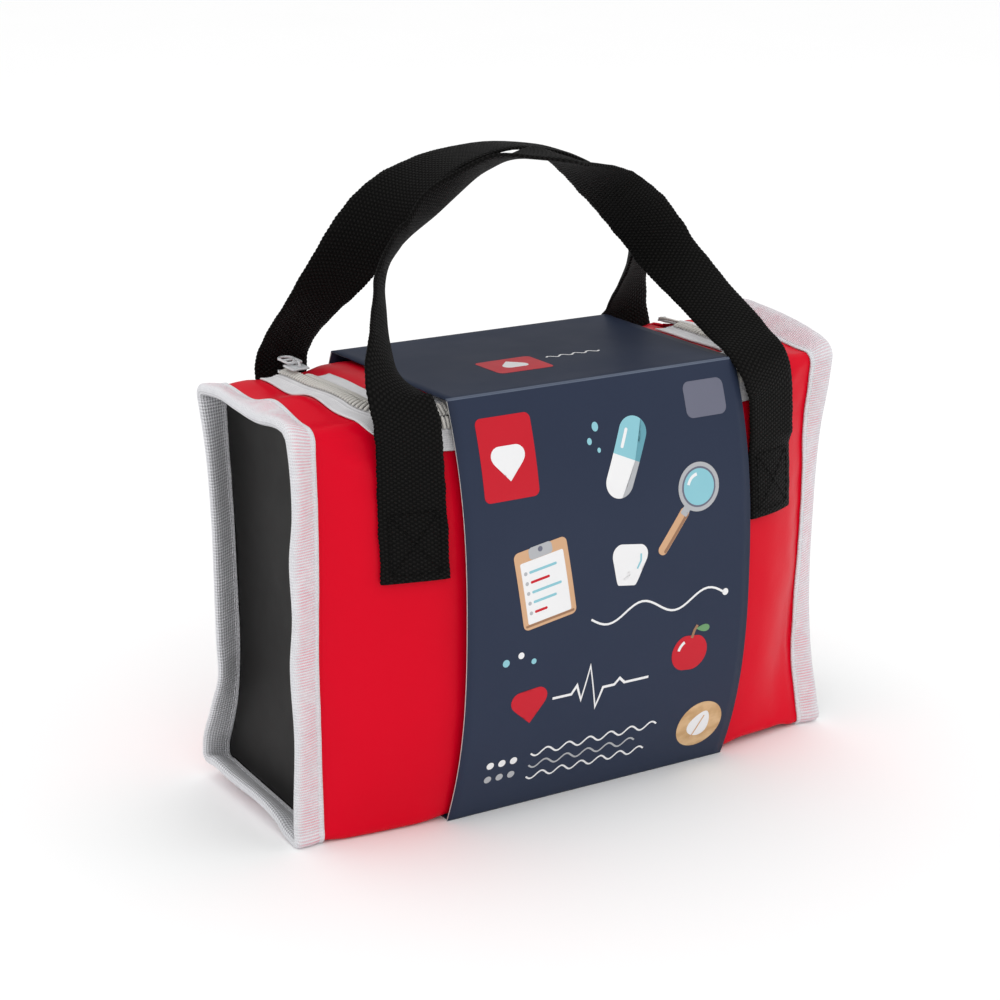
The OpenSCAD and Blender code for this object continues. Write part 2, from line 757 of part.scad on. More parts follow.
otoscope_r = 7;
cup_r = 12;
cup_l = 12;
module otoscope_handle() {
    color("silver")
        translate([right_end - otoscope_l, mid_row, toy_z + cup_r])
            rotate([0, 90, 0])
                cylinder(r1 = otoscope_r - 2, r2 = otoscope_r, h = otoscope_l - cup_l, $fn = 64);
}

module otoscope_cup() {
    wall = 2.4;
    color("#151412")
        translate([right_end - cup_l + layer_gap, mid_row, toy_z + cup_r])
            rotate([0, 90, 0])
                difference() {
                    cylinder(r = cup_r, h = cup_l - layer_gap, $fn = 64);
                    translate([0, 0, wall])
                        cylinder(r = cup_r - wall, h = cup_l, $fn = 64);
                }
}

rear_row = 19;
head_r = 14;
head_l = 26;
module hammer_handle() {
    color("burlywood")
        translate([left_end + 2 * head_r + layer_gap, rear_row, toy_z + head_r])
            rotate([0, 90, 0])
                cylinder(r1 = 4.5, r2 = 7, h = hammer_l - 2 * head_r, $fn = 64);
}

module hammer_head() {
    color("crimson")
        translate([left_end + head_r, rear_row, toy_z + head_r])
            rotate([90, 0, 0])
                cylinder(r = head_r, h = head_l, center = true, $fn = 96);
}

bottle_r = 13.5;
tip_l = 7; // an ear tip of the stethoscope
scope_start = 8; // from the case's end to the middle of the stethoscope's joint
bottle_x = left_end + max(hammer_l, scope_start + stethoscope_l + tip_l - 5) + bottle_r + 4;
neck_r = 7;
cap_h = 14;
shoulder_z = bottle_h - cap_h - 12;
module bottle_body() {
    color("skyblue")
        translate([bottle_x, rear_row + 1, toy_z])
            rotate_extrude($fn = 96)
                polygon([[0, 0], [bottle_r - 1, 0], [bottle_r, 1], [bottle_r, shoulder_z],
                    [bottle_r - 2, shoulder_z + 5], [neck_r, shoulder_z + 10], [neck_r, bottle_h - cap_h],
                    [0, bottle_h - cap_h]]);
}

module bottle_cap() {
    color("white")
        translate([bottle_x, rear_row + 1, toy_z + bottle_h - cap_h + layer_gap])
            cylinder(r = neck_r + 1, h = cap_h, $fn = 64);
}

chest_r = 14;
module stethoscope_chest_piece() {
    color("crimson")
        translate([bottle_x + bottle_r + chest_r + 4, rear_row, toy_z])
            rotate_extrude($fn = 96)
                polygon([[0, 0], [chest_r, 0], [chest_r, 4], [chest_r - 5, 7], [chest_r - 5, 10],
                    [chest_r - 2, 12], [chest_r - 2, 15], [0, 15]]);
}

plaster_l = 32;
module sticking_plaster() {
    color("peachpuff")
        translate([right_end - plaster_l - 1, front_row, toy_z])
            strip(plaster_l, 15, 1.2);
}

arm_r = 4;
arm_spread = 9; // half the angle between the stethoscope's arms
scope_x = left_end + scope_start;
scope_z = toy_z + 2 * head_r + part_gap + arm_r;
module scope_arm(side) {
    translate([scope_x, 0, scope_z])
        rotate([0, 0, side * arm_spread])
            children();
}

module stethoscope_arms() {
    color("burlywood")
        for (side = [-1, 1])
            scope_arm(side)
                translate([8, 0, 0])
                    rotate([0, 90, 0])
                        cylinder(r = arm_r, h = stethoscope_l - 8, $fn = 48);
}

module stethoscope_joint() {
    color("crimson")
        difference() {
            translate([scope_x, 0, scope_z - arm_r])
                cylinder(r = 9, h = 2 * arm_r, $fn = 64);
            for (side = [-1, 1])
                scope_arm(side)
                    translate([8 - layer_gap, 0, 0])
                        rotate([0, 90, 0])
                            cylinder(r = arm_r + layer_gap, h = stethoscope_l, $fn = 48);
        }
}

module stethoscope_ear_tips() {
    color("crimson")
        for (side = [-1, 1])
            scope_arm(side)
                translate([stethoscope_l + layer_gap, 0, 0])
                    rotate([0, 90, 0])
                        cylinder(r1 = arm_r + 1, r2 = arm_r - 1, h = tip_l, $fn = 48);
}

vinyl_wrap();
end_panel(true);  // left_end_panel
end_panel(false);  // right_end_panel
binding(true);  // left_binding
binding(false);  // right_binding
base_board();
zip_tape_case();
zip_teeth_case();
zip_end_stops();
front_handle_tabs();
rear_handle_tabs();
handle_stitches();
sleeve_wrap();
lid_panel();
zip_tape_lid();
zip_teeth_lid();
sleeve_top();
zip_slider();
zip_pull();
front_handle();
rear_handle();
tongue_depressor();
thermometer();
sticking_plaster();
bottle_body();
bottle_cap();
hammer_handle();
hammer_head();
otoscope_handle();
otoscope_cup();
syringe_barrel();
syringe_plunger();
syringe_thumb_disc();
stethoscope_arms();
stethoscope_joint();
stethoscope_ear_tips();
stethoscope_chest_piece();
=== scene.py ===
import math

import bmesh
import bpy
import numpy as np
from mathutils import Matrix, Vector


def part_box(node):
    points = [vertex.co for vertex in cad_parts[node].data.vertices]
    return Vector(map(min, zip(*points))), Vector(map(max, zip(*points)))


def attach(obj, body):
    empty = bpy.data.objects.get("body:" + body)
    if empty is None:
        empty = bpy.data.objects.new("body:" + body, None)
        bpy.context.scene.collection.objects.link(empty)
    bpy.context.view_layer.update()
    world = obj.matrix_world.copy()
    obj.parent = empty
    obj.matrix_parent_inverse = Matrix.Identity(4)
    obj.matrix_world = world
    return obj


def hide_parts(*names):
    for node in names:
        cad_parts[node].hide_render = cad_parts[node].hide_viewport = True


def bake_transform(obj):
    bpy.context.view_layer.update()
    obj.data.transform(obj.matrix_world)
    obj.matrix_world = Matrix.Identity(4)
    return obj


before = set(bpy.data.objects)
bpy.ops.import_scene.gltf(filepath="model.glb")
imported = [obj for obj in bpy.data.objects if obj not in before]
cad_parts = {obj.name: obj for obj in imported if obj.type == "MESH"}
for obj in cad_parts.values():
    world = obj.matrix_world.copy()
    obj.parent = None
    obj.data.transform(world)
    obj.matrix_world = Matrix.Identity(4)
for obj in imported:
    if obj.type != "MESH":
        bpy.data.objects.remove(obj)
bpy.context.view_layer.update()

# ---------------------------------------------------------------- sizes, in millimetres, as in the CAD source
LENGTH, DEPTH, HEIGHT = 235, 79, 170
HALF, END, TIP = DEPTH / 2, LENGTH / 2, LENGTH / 2 + 13
VINYL, PANEL, BINDING, LAYER = 1.4, 1.2, 0.7, 0.1
BASE = BINDING + LAYER
RIM = TIP - BINDING - LAYER
FOLD = 5
BELLY, SWELL, END_SWELL, CROWN = 6, 14, 3, 4.4
FRONT_PINCH, REAR_PINCH = 5, 9
ZIP_X, ZIP_DROP, ZIP_R, TAPE_T = 92, 2, 17, 0.8
WEBBING_W, WEBBING_T, LEG_X, LEG_BOTTOM, LEG_TOP = 28, 1.8, 86, 108, 138
HANDLE_RISE, FRONT_LEAN, REAR_LEAN = 84, 54.5, 33
SLEEVE_W, SLEEVE_X, CARD_T, SLEEVE_RISE, CREASE_OUT, CARD_SWELL = 137, 2.5, 0.6, 5.6, 0.6, 1.6

# sizes that only the looks need
MM = 0.001
ZIP_CUT = 4.2  # from the zip's line to the vinyl's cut edge
WEBBING_RIB = 1.75
SHOWN_WIDTH = 0.95  # the webbing's width in the photo, as a share of its nominal one


# ---------------------------------------------------------------- numbers
def smooth(t):
    t = np.clip(t, 0, 1)
    return t * t * (3 - 2 * t)


def curve(t, knots):
    """A smooth curve through knots of (place, value), held at its ends."""
    x, y = np.array(knots, float).T
    slope = np.gradient(y, x)
    t = np.clip(t, x[0], x[-1])
    i = np.clip(np.searchsorted(x, t) - 1, 0, len(x) - 2)
    h = x[i + 1] - x[i]
    u = (t - x[i]) / h
    return ((2 * u**3 - 3 * u**2 + 1) * y[i] + (u**3 - 2 * u**2 + u) * h * slope[i]
            + (3 * u**2 - 2 * u**3) * y[i + 1] + (u**3 - u**2) * h * slope[i + 1])


def ripple(points, size, seed):
    """Soft humps of about -1 to 1, with the given size."""
    rng = np.random.default_rng(seed)
    total = 0
    for _ in range(7):
        way = rng.normal(size=3)
        way *= 2 * math.pi / size * rng.uniform(0.6, 1.5) / np.linalg.norm(way)
        total = total + np.sin(points @ way + rng.uniform(0, 6.28))
    return total / 3.5


def unit(v):
    return v / np.maximum(np.linalg.norm(v, axis=-1, keepdims=True), 1e-9)


# ---------------------------------------------------------------- the case's skin
def girth(x):
    return 1 - np.clip(np.abs(x) / END, 0, 1) ** 4


def swell(z):
    return 1 - np.abs(2 * np.clip((z - BASE) / (HEIGHT - BASE), 0, 1) - 1) ** 2.5


def skin(x, y, z):
    """The CAD's skin: a point of the end outline, on the swelling body."""
    g = girth(x)
    pinch = np.where(y < 0, FRONT_PINCH, REAR_PINCH) * (1 - g) ** 2
    spread = BELLY * g + (END_SWELL + (SWELL - END_SWELL) * g - pinch) * swell(z)
    middle = (HEIGHT + BASE) / 2
    lift = (CROWN * g * (1 - np.clip(np.abs(y) / HALF, 0, 1) ** 6)
            * np.clip((z - middle) / (HEIGHT - middle), 0, 1) ** 8)
    return np.stack(np.broadcast_arrays(x, y * (1 + spread / HALF), z + lift), -1).astype(float)


def outline_table():
    """The end outline from its top's middle over the front: distance, place and outward direction."""
    y, low, high = HALF - FOLD, BASE + FOLD, HEIGHT - FOLD
    line_steps, arc_steps = 40, 16
    rows = []

    def line(a, b, out):
        for k in range(line_steps):
            rows.append([a[0] + (b[0] - a[0]) * k / line_steps, a[1] + (b[1] - a[1]) * k / line_steps, *out])

    def arc(cy, cz, start):
        for k in range(arc_steps):
            a = math.radians(start + 90 * k / arc_steps)
            rows.append([cy + FOLD * math.cos(a), cz + FOLD * math.sin(a), math.cos(a), math.sin(a)])

    line((0, HEIGHT), (-y, HEIGHT), (0, 1))
    arc(-y, high, 90)
    line((-HALF, high), (-HALF, low), (-1, 0))
    arc(-y, low, 180)
    line((-y, BASE), (y, BASE), (0, -1))
    arc(y, low, 270)
    line((HALF, low), (HALF, high), (1, 0))
    arc(y, high, 0)
    line((y, HEIGHT), (0, HEIGHT), (0, 1))
    t = np.array(rows)
    ring = np.vstack([t, t[:1]])
    s = np.concatenate([[0], np.cumsum(np.linalg.norm(np.diff(ring[:, :2], axis=0), axis=1))])
    return s, t


OUTLINE_S, OUTLINE = outline_table()
AROUND = OUTLINE_S[-1]


def outline(s):
    """Place and outward direction of the end outline, at s round it."""
    return [np.interp(s, OUTLINE_S[:-1], OUTLINE[:, k], period=AROUND) for k in range(4)]


# How the slack bound ends sway, as seen in the photo: knots of the sewn edge and of the tip, for each end
FRONT_EDGE = {
    -1: ([(0, -40), (20, -39.8), (45, -39.4), (69, -39.1), (89, -39.6), (137, -40), (160, -38.6), (170, -38.5)],
         [(0, -40), (16, -40.4), (46, -42.3), (77, -39.9), (95, -42.4), (119, -41), (137, -44), (155, -42.8),
          (170, -39)]),
    1: ([(0, -40.5), (16, -37), (33, -33.5), (51, -33.6), (73, -35.4), (99, -35.8), (118, -35.8), (143, -35.6),
         (160, -38), (170, -39)],
        [(0, -42), (14, -38.4), (28, -34.6), (49, -31.4), (69, -30.4), (95, -30.8), (115, -31.6), (134, -33.4),
         (154, -37.6), (170, -40)])}
REAR_EDGE = {
    -1: ([(0, 46.4), (9, 47.4), (20, 44), (37, 37.6), (60, 34), (79, 34.2), (110, 35.4), (126, 37.4), (150, 40),
          (170, 41.5)],
         [(0, 45.4), (9, 46), (20, 43.6), (34, 37), (52, 28.6), (63, 29.4), (90, 30), (117, 30.8), (145, 34.4),
          (170, 42)]),
    1: ([(0, 40), (40, 37), (80, 35.5), (120, 34.5), (150, 38), (170, 40)],
        [(0, 41), (30, 38), (60, 32.4), (90, 34.4), (125, 30), (150, 36), (170, 41)])}
TOP_EDGE = {
    -1: ([(-39, 168.6), (-30, 169), (-7, 173), (13, 169), (30, 170), (40, 170.6)],
         [(-39, 171), (-30, 172.4), (-11, 170.6), (6, 171.6), (20, 172.8), (40, 170.6)]),
    1: ([(-39, 169.4), (-24, 169.6), (-13, 170.6), (10, 171.5), (40, 170)],
        [(-39, 171), (-32, 174), (-24, 176), (-9, 178.4), (10, 180), (22, 180.4), (40, 175.6)])}
BASE_EDGE = {
    -1: ([(-40, 0), (-20, 0), (-8, 0.6), (2.4, 1.1), (15, 1.7), (28, 2.6), (40, 4.2)],
         [(-40, 0), (-33, 0), (-29, 0.6), (-23, 3.4), (-14, 5.4), (-2, 6.4), (12, 6.3), (22, 6.4), (33, 7.2),
          (40, 6.6)]),
    1: ([(-40, 0), (40, 0)],
        [(-40, 0.3), (-20, 2.4), (0, 1), (20, 3), (40, 0)])}


def sway(x, y, z):
    """How far the slack ends of the real case move a point of the end outline, in Y and Z.

    near fades it in towards the end, far runs from the sewn edge to the binding's tip.
    """
    dy, dz = np.zeros_like(x), np.zeros_like(x)
    for end in (-1, 1):
        here = np.where(x * end > 0, 1.0, 0.0)
        far = smooth((np.abs(x) - END - 1) / 12)
        near = smooth((np.abs(x) - 84) / (END - 84)) * here
        for edge, side in ((FRONT_EDGE, -1), (REAR_EDGE, 1)):
            sewn, tip = edge[end]
            target = curve(z, sewn) * (1 - far) + curve(z, tip) * far
            reach = smooth((y * side - 14) / (HALF - 14))
            at_side = skin(np.full_like(x, END), np.full_like(x, HALF * side), z)[..., 1]
            dy = dy + near * reach * (target - at_side) * np.abs(y / HALF)
        sewn, tip = TOP_EDGE[end]
        target = curve(y, sewn) * (1 - far) + curve(y, tip) * far
        dz = dz + near * smooth((z - 130) / 40) * (target - HEIGHT)
        sewn, tip = BASE_EDGE[end]
        lift = curve(y, sewn) * (1 - far) + curve(y, tip) * far
        dz = dz + here * smooth((np.abs(x) - 104) / (END - 104)) * smooth((30 - z) / 30) * lift
    beside_card = smooth((np.abs(x - SLEEVE_X) - 70) / 12) * (1 - smooth((np.abs(x) - 108) / 8))
    dz = dz + np.where(x > 0, 1.7, -0.8) * beside_card * smooth((12 - z) / 10)
    return dy, dz


# Places round the outline, from its top's middle over the front
FOLD_START = HALF - FOLD
FRONT_FOLD_END = FOLD_START + FOLD * math.pi / 2
BASE_FOLD = FRONT_FOLD_END + HEIGHT - FOLD * 2 - BASE
LOW_FOLD_S = BASE_FOLD + FOLD * math.pi / 4
REAR_TOP_FOLD = AROUND - FRONT_FOLD_END
ZIP_FRONT_S = FOLD_START + FOLD * math.acos((FOLD - ZIP_DROP) / FOLD)
CORNER_S = ZIP_FRONT_S - ZIP_R
ZIP_REAR_S = -(FOLD_START - 1.3)
LID_LINE_S = -36.0


def zip_distance(x, s):
    """Distance from the zip's line in the top's own surface, outwards positive."""
    qx = np.abs(x) - (ZIP_X - ZIP_R)
    qs = s - CORNER_S
    outside = np.hypot(np.maximum(qx, 0), np.maximum(qs, 0))
    return np.where((qx > 0) | (qs > 0), outside, np.maximum(qx, qs)) - ZIP_R


# Creases of the vinyl: middle in x and s, half length, half width, turn in degrees, height
CREASES = [
    (-105, 50, 12, 2.6, 32, 1.2), (-108, 58, 10, 4, -50, 0.5), (-100, 30, 9, 4, 60, 0.7),
    (-109, 12, 7, 5, 80, 0.8), (-104, -8, 8, 5, 70, -0.7), (106, 46, 8, 2.4, -28, 0.9),
    (108, 60, 9, 4, 60, -0.5), (112, 170, 24, 2.6, 84, 0.9), (104, 186, 12, 4, 78, -0.6),
    (-112, 190, 20, 4, 96, 0.5), (-108, 120, 26, 6, 94, -0.5), (106, 110, 24, 5, 88, 0.5),
    (-60, -60, 22, 5, 20, 0.5), (40, -90, 30, 6, -14, 0.5), (0, -46, 26, 3, 4, -0.5),
    (82, -58, 14, 4, 40, 0.6), (104, 4, 8, 5, 74, 0.7), (99, -20, 8, 4, 64, -0.6)]


def place(x, s, out=0.0):
    """A point of the real, soft case: x along it, s over its front from the top's middle, out from its skin.

    The skin's own waves and puckers, the groove beside the zip, the sharp bottom folds and the creases are added
    along the skin's direction, and then the sway of the slack ends.
    """
    x, s, out = np.broadcast_arrays(np.asarray(x, float), np.asarray(s, float), np.asarray(out, float))
    y0, z0, ny, nz = outline(s)
    p = skin(x, y0 + ny * out, z0 + nz * out)
    dy, dz = sway(x, y0, z0)
    rest = np.stack([x, y0, z0], -1)
    normal = np.stack([np.zeros_like(x), ny, nz], -1)
    ss = np.where(s > AROUND / 2, s - AROUND, s)
    d = zip_distance(x, ss)
    on_top = smooth((60 - ss) / 12) * smooth((ss + 44) / 10)
    groove = -1.4 * smooth(np.abs(d) / 6) * (1 - smooth((np.abs(d) - 8) / 10)) * on_top
    slack = smooth((END - np.abs(x)) / 14) * smooth((z0 - 2) / 20)
    waves = 0.30 * ripple(rest, 70, 3) + 0.14 * ripple(rest, 24, 5)
    off_floor = smooth((z0 - 2) / 20)
    puckers = np.exp(-((np.abs(x) - 112) / 6) ** 2) * 0.28 * ripple(rest * [0.2, 1, 1], 17, 9) * off_floor
    under_card = 1 - smooth((np.abs(x - SLEEVE_X) - 64) / 12)
    low_fold = 1.3 * np.exp(-((np.abs(ss) - LOW_FOLD_S) / 3.0) ** 2) * (1 - 0.8 * under_card)
    amount = (waves * slack - 0.35) * (1 - 0.5 * under_card) + groove + puckers + low_fold
    for cx, cs, rx, rs, turn, height in CREASES:
        a = math.radians(turn)
        u = (x - cx) * math.cos(a) + (ss - cs) * math.sin(a)
        v = -(x - cx) * math.sin(a) + (ss - cs) * math.cos(a)
        amount = amount + height * np.exp(-(u / rx) ** 2 - (v / rs) ** 2)
    p = p + normal * amount[..., None]
    p[..., 1] += dy
    p[..., 2] += dz
    return p


# ---------------------------------------------------------------- meshes
def make(name, points, faces, materials, picks=None, uvs=None, flat=False):
    """An object from points in millimetres. uvs has one (u, v) pair in metres for each face corner."""
    mesh = bpy.data.meshes.new(name)
    mesh.from_pydata([tuple(float(c) * MM for c in p) for p in points], [],
                     [tuple(int(i) for i in f) for f in faces])
    for m in materials if isinstance(materials, (list, tuple)) else [materials]:
        mesh.materials.append(m)
    if picks is not None:
        mesh.polygons.foreach_set("material_index", np.asarray(picks, np.int32))
    if uvs is not None:
        layer = mesh.uv_layers.new(name="cloth")
        layer.data.foreach_set("uv", np.asarray(uvs, np.float32).ravel())
    mesh.polygons.foreach_set("use_smooth", [not flat] * len(mesh.polygons))
    mesh.update()
    obj = bpy.data.objects.new(name, mesh)
    bpy.context.scene.collection.objects.link(obj)
    return obj


def sheet_faces(n, m, loop=False, ring=False):
    """Quads of an n by m grid: loop joins the last row to the first, ring the last column to the first."""
    faces = []
    for i in range(n if loop else n - 1):
        for j in range(m if ring else m - 1):
            a, b = i * m + j, ((i + 1) % n) * m + j
            c, d = ((i + 1) % n) * m + (j + 1) % m, i * m + (j + 1) % m
            faces.append((a, b, c, d))
    return faces


def run_along(points, closed=False):
    """Distances along a line of points, from 0, back to its start where it is closed."""
    if closed:
        points = np.concatenate([points, points[:1]])
    return np.concatenate([[0], np.cumsum(np.linalg.norm(np.diff(points, axis=0), axis=1))])


def grid(name, points, materials, along=None, across=None, loop=False, ring=False, caps=False, keep=None,
         flip=False):
    """A surface through points[i, j], with uvs by distance along i and across j."""
    n, m = points.shape[:2]
    if along is None:
        along = run_along(points[:, m // 2], loop)
    if across is None:
        across = run_along(points[n // 2], ring)
    faces, uvs = [], []
    quads = sheet_faces(n, m, loop, ring)
    cols = m if ring else m - 1
    for k, f in enumerate(quads):
        if keep is not None and not keep[k]:
            continue
        i, j = divmod(k, cols)
        corner = [(along[i + di], across[j + dj]) for di, dj in ((0, 0), (1, 0), (1, 1), (0, 1))]
        faces.append(f[::-1] if flip else f)
        uvs += corner[::-1] if flip else corner
    if caps:
        for i, back in ((0, False), (n - 1, True)):
            row = [i * m + j for j in range(m)]
            row = row[::-1] if back != flip else row
            faces.append(tuple(row))
            uvs += [(along[i], across[j % m]) for j in range(m)]
    obj = make(name, points.reshape(-1, 3), faces, materials, uvs=np.array(uvs) * MM)
    if keep is not None:
        drop_loose(obj)
    return obj


def drop_loose(obj):
    """Deletes the points that no face uses."""
    bm = bmesh.new()
    bm.from_mesh(obj.data)
    bmesh.ops.delete(bm, geom=[v for v in bm.verts if not v.link_faces], context="VERTS")
    bm.to_mesh(obj.data)
    bm.free()


def wall(obj, thickness):
    """Gives a surface its thickness, in millimetres, inwards."""
    mod = obj.modifiers.new("wall", "SOLIDIFY")
    mod.thickness = thickness * MM
    mod.offset = -1.0


def tube(name, points, radius, material, loop=False):
    """A round rod through points in millimetres."""
    p = np.asarray(points, float)
    ahead = np.roll(p, -1, 0) - np.roll(p, 1, 0)
    if not loop:
        ahead[0], ahead[-1] = p[1] - p[0], p[-1] - p[-2]
    t = unit(ahead)
    guide = np.array([0.0, 0.0, 1.0]) if abs(t[0][2]) < 0.9 else np.array([0.0, 1.0, 0.0])
    u = unit(guide - t * (t @ guide)[:, None])
    v = np.cross(t, u)
    sides = 10
    a = (np.arange(sides) * 2 * math.pi / sides)[None, :, None]
    rings = p[:, None] + radius * (u[:, None] * np.cos(a) + v[:, None] * np.sin(a))
    return grid(name, rings, material, loop=loop, ring=True, caps=not loop)


def merged(name, objs):
    """Several meshes as one object, with their materials."""
    bpy.ops.object.select_all(action="DESELECT")
    for o in objs:
        o.select_set(True)
    bpy.context.view_layer.objects.active = objs[0]
    bpy.ops.object.join()
    objs[0].name = name
    return objs[0]


def block(name, size, middle, material, bevel):
    """A box with rounded edges, in millimetres."""
    bm = bmesh.new()
    bmesh.ops.create_cube(bm, size=1)
    bmesh.ops.scale(bm, vec=[c * MM for c in size], verts=bm.verts)
    bmesh.ops.bevel(bm, geom=bm.edges[:], offset=bevel * MM, segments=3, profile=0.5, affect="EDGES")
    bmesh.ops.translate(bm, vec=[c * MM for c in middle], verts=bm.verts)
    mesh = bpy.data.meshes.new(name)
    bm.to_mesh(mesh)
    bm.free()
    mesh.materials.append(material)
    mesh.polygons.foreach_set("use_smooth", [True] * len(mesh.polygons))
    obj = bpy.data.objects.new(name, mesh)
    bpy.context.scene.collection.objects.link(obj)
    return obj


# ---------------------------------------------------------------- materials
class Value:
    """A shader socket that takes part in sums."""

    def __init__(self, shader, socket):
        self.shader, self.socket = shader, socket

    def math(self, operation, *others):
        return self.shader.node("ShaderNodeMath", {"operation": operation}, dict(enumerate((self, *others))))

    def __add__(self, other):
        return self.math("ADD", other)

    def __sub__(self, other):
        return self.math("SUBTRACT", other)

    def __mul__(self, other):
        return self.math("MULTIPLY", other)

    def __truediv__(self, other):
        return self.math("DIVIDE", other)

    def __pow__(self, other):
        return self.math("POWER", other)

    def __rsub__(self, other):
        return (self * -1.0) + other

    __radd__, __rmul__ = __add__, __mul__

    def sin(self):
        return self.math("SINE")

    def abs(self):
        return self.math("ABSOLUTE")

    def clamp(self):
        return self.math("MAXIMUM", 0.0).math("MINIMUM", 1.0)

    def above(self, edge, soft=0.1):
        """0 below the edge, 1 above it, with a soft step."""
        return ((self - edge) / soft).clamp()

    def wave(self, pitch):
        """A sine with the given pitch, from 0 to 1."""
        return (self * (2 * math.pi / pitch)).sin() * 0.5 + 0.5


class Shader:
    """One material. Its nodes come from node(), and sums of its values from Value."""

    def __init__(self, name, **sockets):
        self.material = bpy.data.materials.new(name)
        self.material.use_nodes = True
        self.nodes = self.material.node_tree.nodes
        self.surface = self.nodes["Principled BSDF"]
        for key, value in sockets.items():
            self.set(key.replace("_", " "), value)

    def set(self, key, value):
        self.plug(self.surface.inputs[key], value)

    def plug(self, socket, value):
        if isinstance(value, Value):
            self.material.node_tree.links.new(value.socket, socket)
        elif isinstance(value, (tuple, list)) and len(value) == 3 and socket.type == "RGBA":
            socket.default_value = (*value, 1.0)
        else:
            socket.default_value = value

    def node(self, kind, settings=None, inputs=None, output=0):
        made = self.nodes.new(kind)
        for key, value in (settings or {}).items():
            setattr(made, key, value)
        for key, value in (inputs or {}).items():
            self.plug(made.inputs[key], value)
        return Value(self, made.outputs[output])

    def place(self, scale):
        spot = self.node("ShaderNodeTexCoord", output="Object")
        return self.node("ShaderNodeMapping", None, {"Vector": spot, "Scale": scale})

    def cloth(self):
        """Distances along and across the cloth, in millimetres."""
        uv = self.node("ShaderNodeUVMap", {"uv_map": "cloth"})
        u = self.node("ShaderNodeSeparateXYZ", None, {0: uv}, "X")
        v = self.node("ShaderNodeSeparateXYZ", None, {0: uv}, "Y")
        return u * 1000.0, v * 1000.0

    def noise(self, scale, detail=2.0, stretch=(1, 1, 1)):
        inputs = {"Vector": self.place(stretch), "Scale": scale, "Detail": detail}
        return self.node("ShaderNodeTexNoise", None, inputs)

    def mix(self, factor, a, b):
        """Colour a where the factor is 0, colour b where it is 1."""
        made = self.nodes.new("ShaderNodeMix")
        made.data_type = "RGBA"
        self.plug(made.inputs["Factor"], factor)
        self.plug(made.inputs[6], a)
        self.plug(made.inputs[7], b)
        return Value(self, made.outputs[2])

    def bump(self, *layers):
        """Each layer is a height and how deep it goes, in metres."""
        normal = None
        for height, depth in layers:
            inputs = {"Height": height, "Distance": depth, "Strength": 1.0}
            if normal is not None:
                inputs["Normal"] = normal
            normal = self.node("ShaderNodeBump", None, inputs)
        self.set("Normal", normal)


def red_vinyl():
    m = Shader("red_vinyl", Specular_IOR_Level=0.06, Coat_Weight=0.05, Coat_Roughness=0.16)
    cloud = m.noise(14, 3)
    m.set("Base Color", m.mix(cloud, (0.60, 0.0, 0.012), (0.69, 0.0, 0.017)))
    m.set("Roughness", 0.34 + m.noise(60, 3) * 0.12)
    m.bump((m.noise(34, 2), 0.0008), (m.noise(1500, 2), 0.00003), (m.noise(420, 3), 0.00004))
    return m.material


def black_cloth():
    m = Shader("black_coated_cloth", Specular_IOR_Level=0.22)
    m.set("Base Color", m.mix(m.noise(20, 3), (0.0095, 0.009, 0.009), (0.0155, 0.0145, 0.014)))
    m.set("Roughness", 0.5 + m.noise(80, 3) * 0.14)
    m.bump((m.noise(26, 2), 0.0009), (m.noise(1700, 2), 0.00003))
    return m.material


def binding_tape(end_v):
    """Ribbed tape: the red vinyl shows between its threads on one leg, the black cloth on the other."""
    m = Shader("pale_binding_tape", Specular_IOR_Level=0.3, Sheen_Weight=0.25, Sheen_Roughness=0.5)
    u, v = m.cloth()
    rib_pitch, thread_pitch, dot_pitch = 1.15, 0.8, 2.5
    rib = u.wave(rib_pitch)
    thread = (v * (2 * math.pi / thread_pitch) + (u * (math.pi / rib_pitch)).sin() * 1.2).sin() * 0.5 + 0.5
    dot = 2 * math.pi / dot_pitch
    dots = ((u + v) * dot).sin() * ((u - v) * dot).sin() * 0.5 + 0.5
    over_red = v.above(1.8, 0.5) * (1.0 - v.above(8.6, 3.4))
    over_black = v.above(13.2, 2.5) * (1.0 - v.above(end_v - 1.9, 0.5))
    patch = m.noise(120, 2).above(0.36, 0.25)
    white = m.mix(m.noise(300, 2), (0.70, 0.70, 0.735), (0.86, 0.86, 0.88))
    grain = thread.above(0.25, 0.4)
    red_gap = (1.0 - rib).above(0.44, 0.3) * over_red * (0.3 + patch * 0.5) * (0.55 + grain * 0.45)
    dark_gap = (1.0 - dots).above(0.36, 0.3) * over_black * 0.82
    shade = (1.0 - rib) * 0.22 + (1.0 - grain) * 0.12
    cream = m.mix(red_gap, m.mix(shade, white, (0.42, 0.42, 0.46)), (0.80, 0.22, 0.31))
    m.set("Base Color", m.mix(dark_gap, cream, (0.25, 0.25, 0.265)))
    m.set("Roughness", 0.78 + thread * 0.1)
    m.bump((rib * (1.0 - over_black) + dots * over_black, 0.00022), (thread, 0.00010))
    return m.material


def webbing():
    m = Shader("black_webbing", Specular_IOR_Level=0.1, Sheen_Weight=0.02, Sheen_Roughness=0.4)
    u, v = m.cloth()
    column_width = 1.55
    column = (v * (math.pi / column_width)).sin()
    shift = column.above(-0.2, 0.4) * math.pi
    oval = ((u * (2 * math.pi / WEBBING_RIB) + shift + v * 0.5).sin() * 0.5 + 0.5) * (column.abs() ** 0.6)
    fuzz = m.noise(1400, 3)
    # the rib tops are painted lighter and the hollows between them darker, a painted highlight and shade; the
    # fuzz adds random tone
    painted_rib_light_and_fuzz = (oval.above(0.3, 0.5) * 0.75 + fuzz * 0.35).clamp()
    m.set("Base Color", m.mix(painted_rib_light_and_fuzz, (0.0007, 0.0006, 0.0005), (0.0105, 0.0098, 0.0092)))
    m.set("Roughness", 0.62 + fuzz * 0.2)
    m.bump((oval, 0.0006), (fuzz, 0.00012))
    return m.material


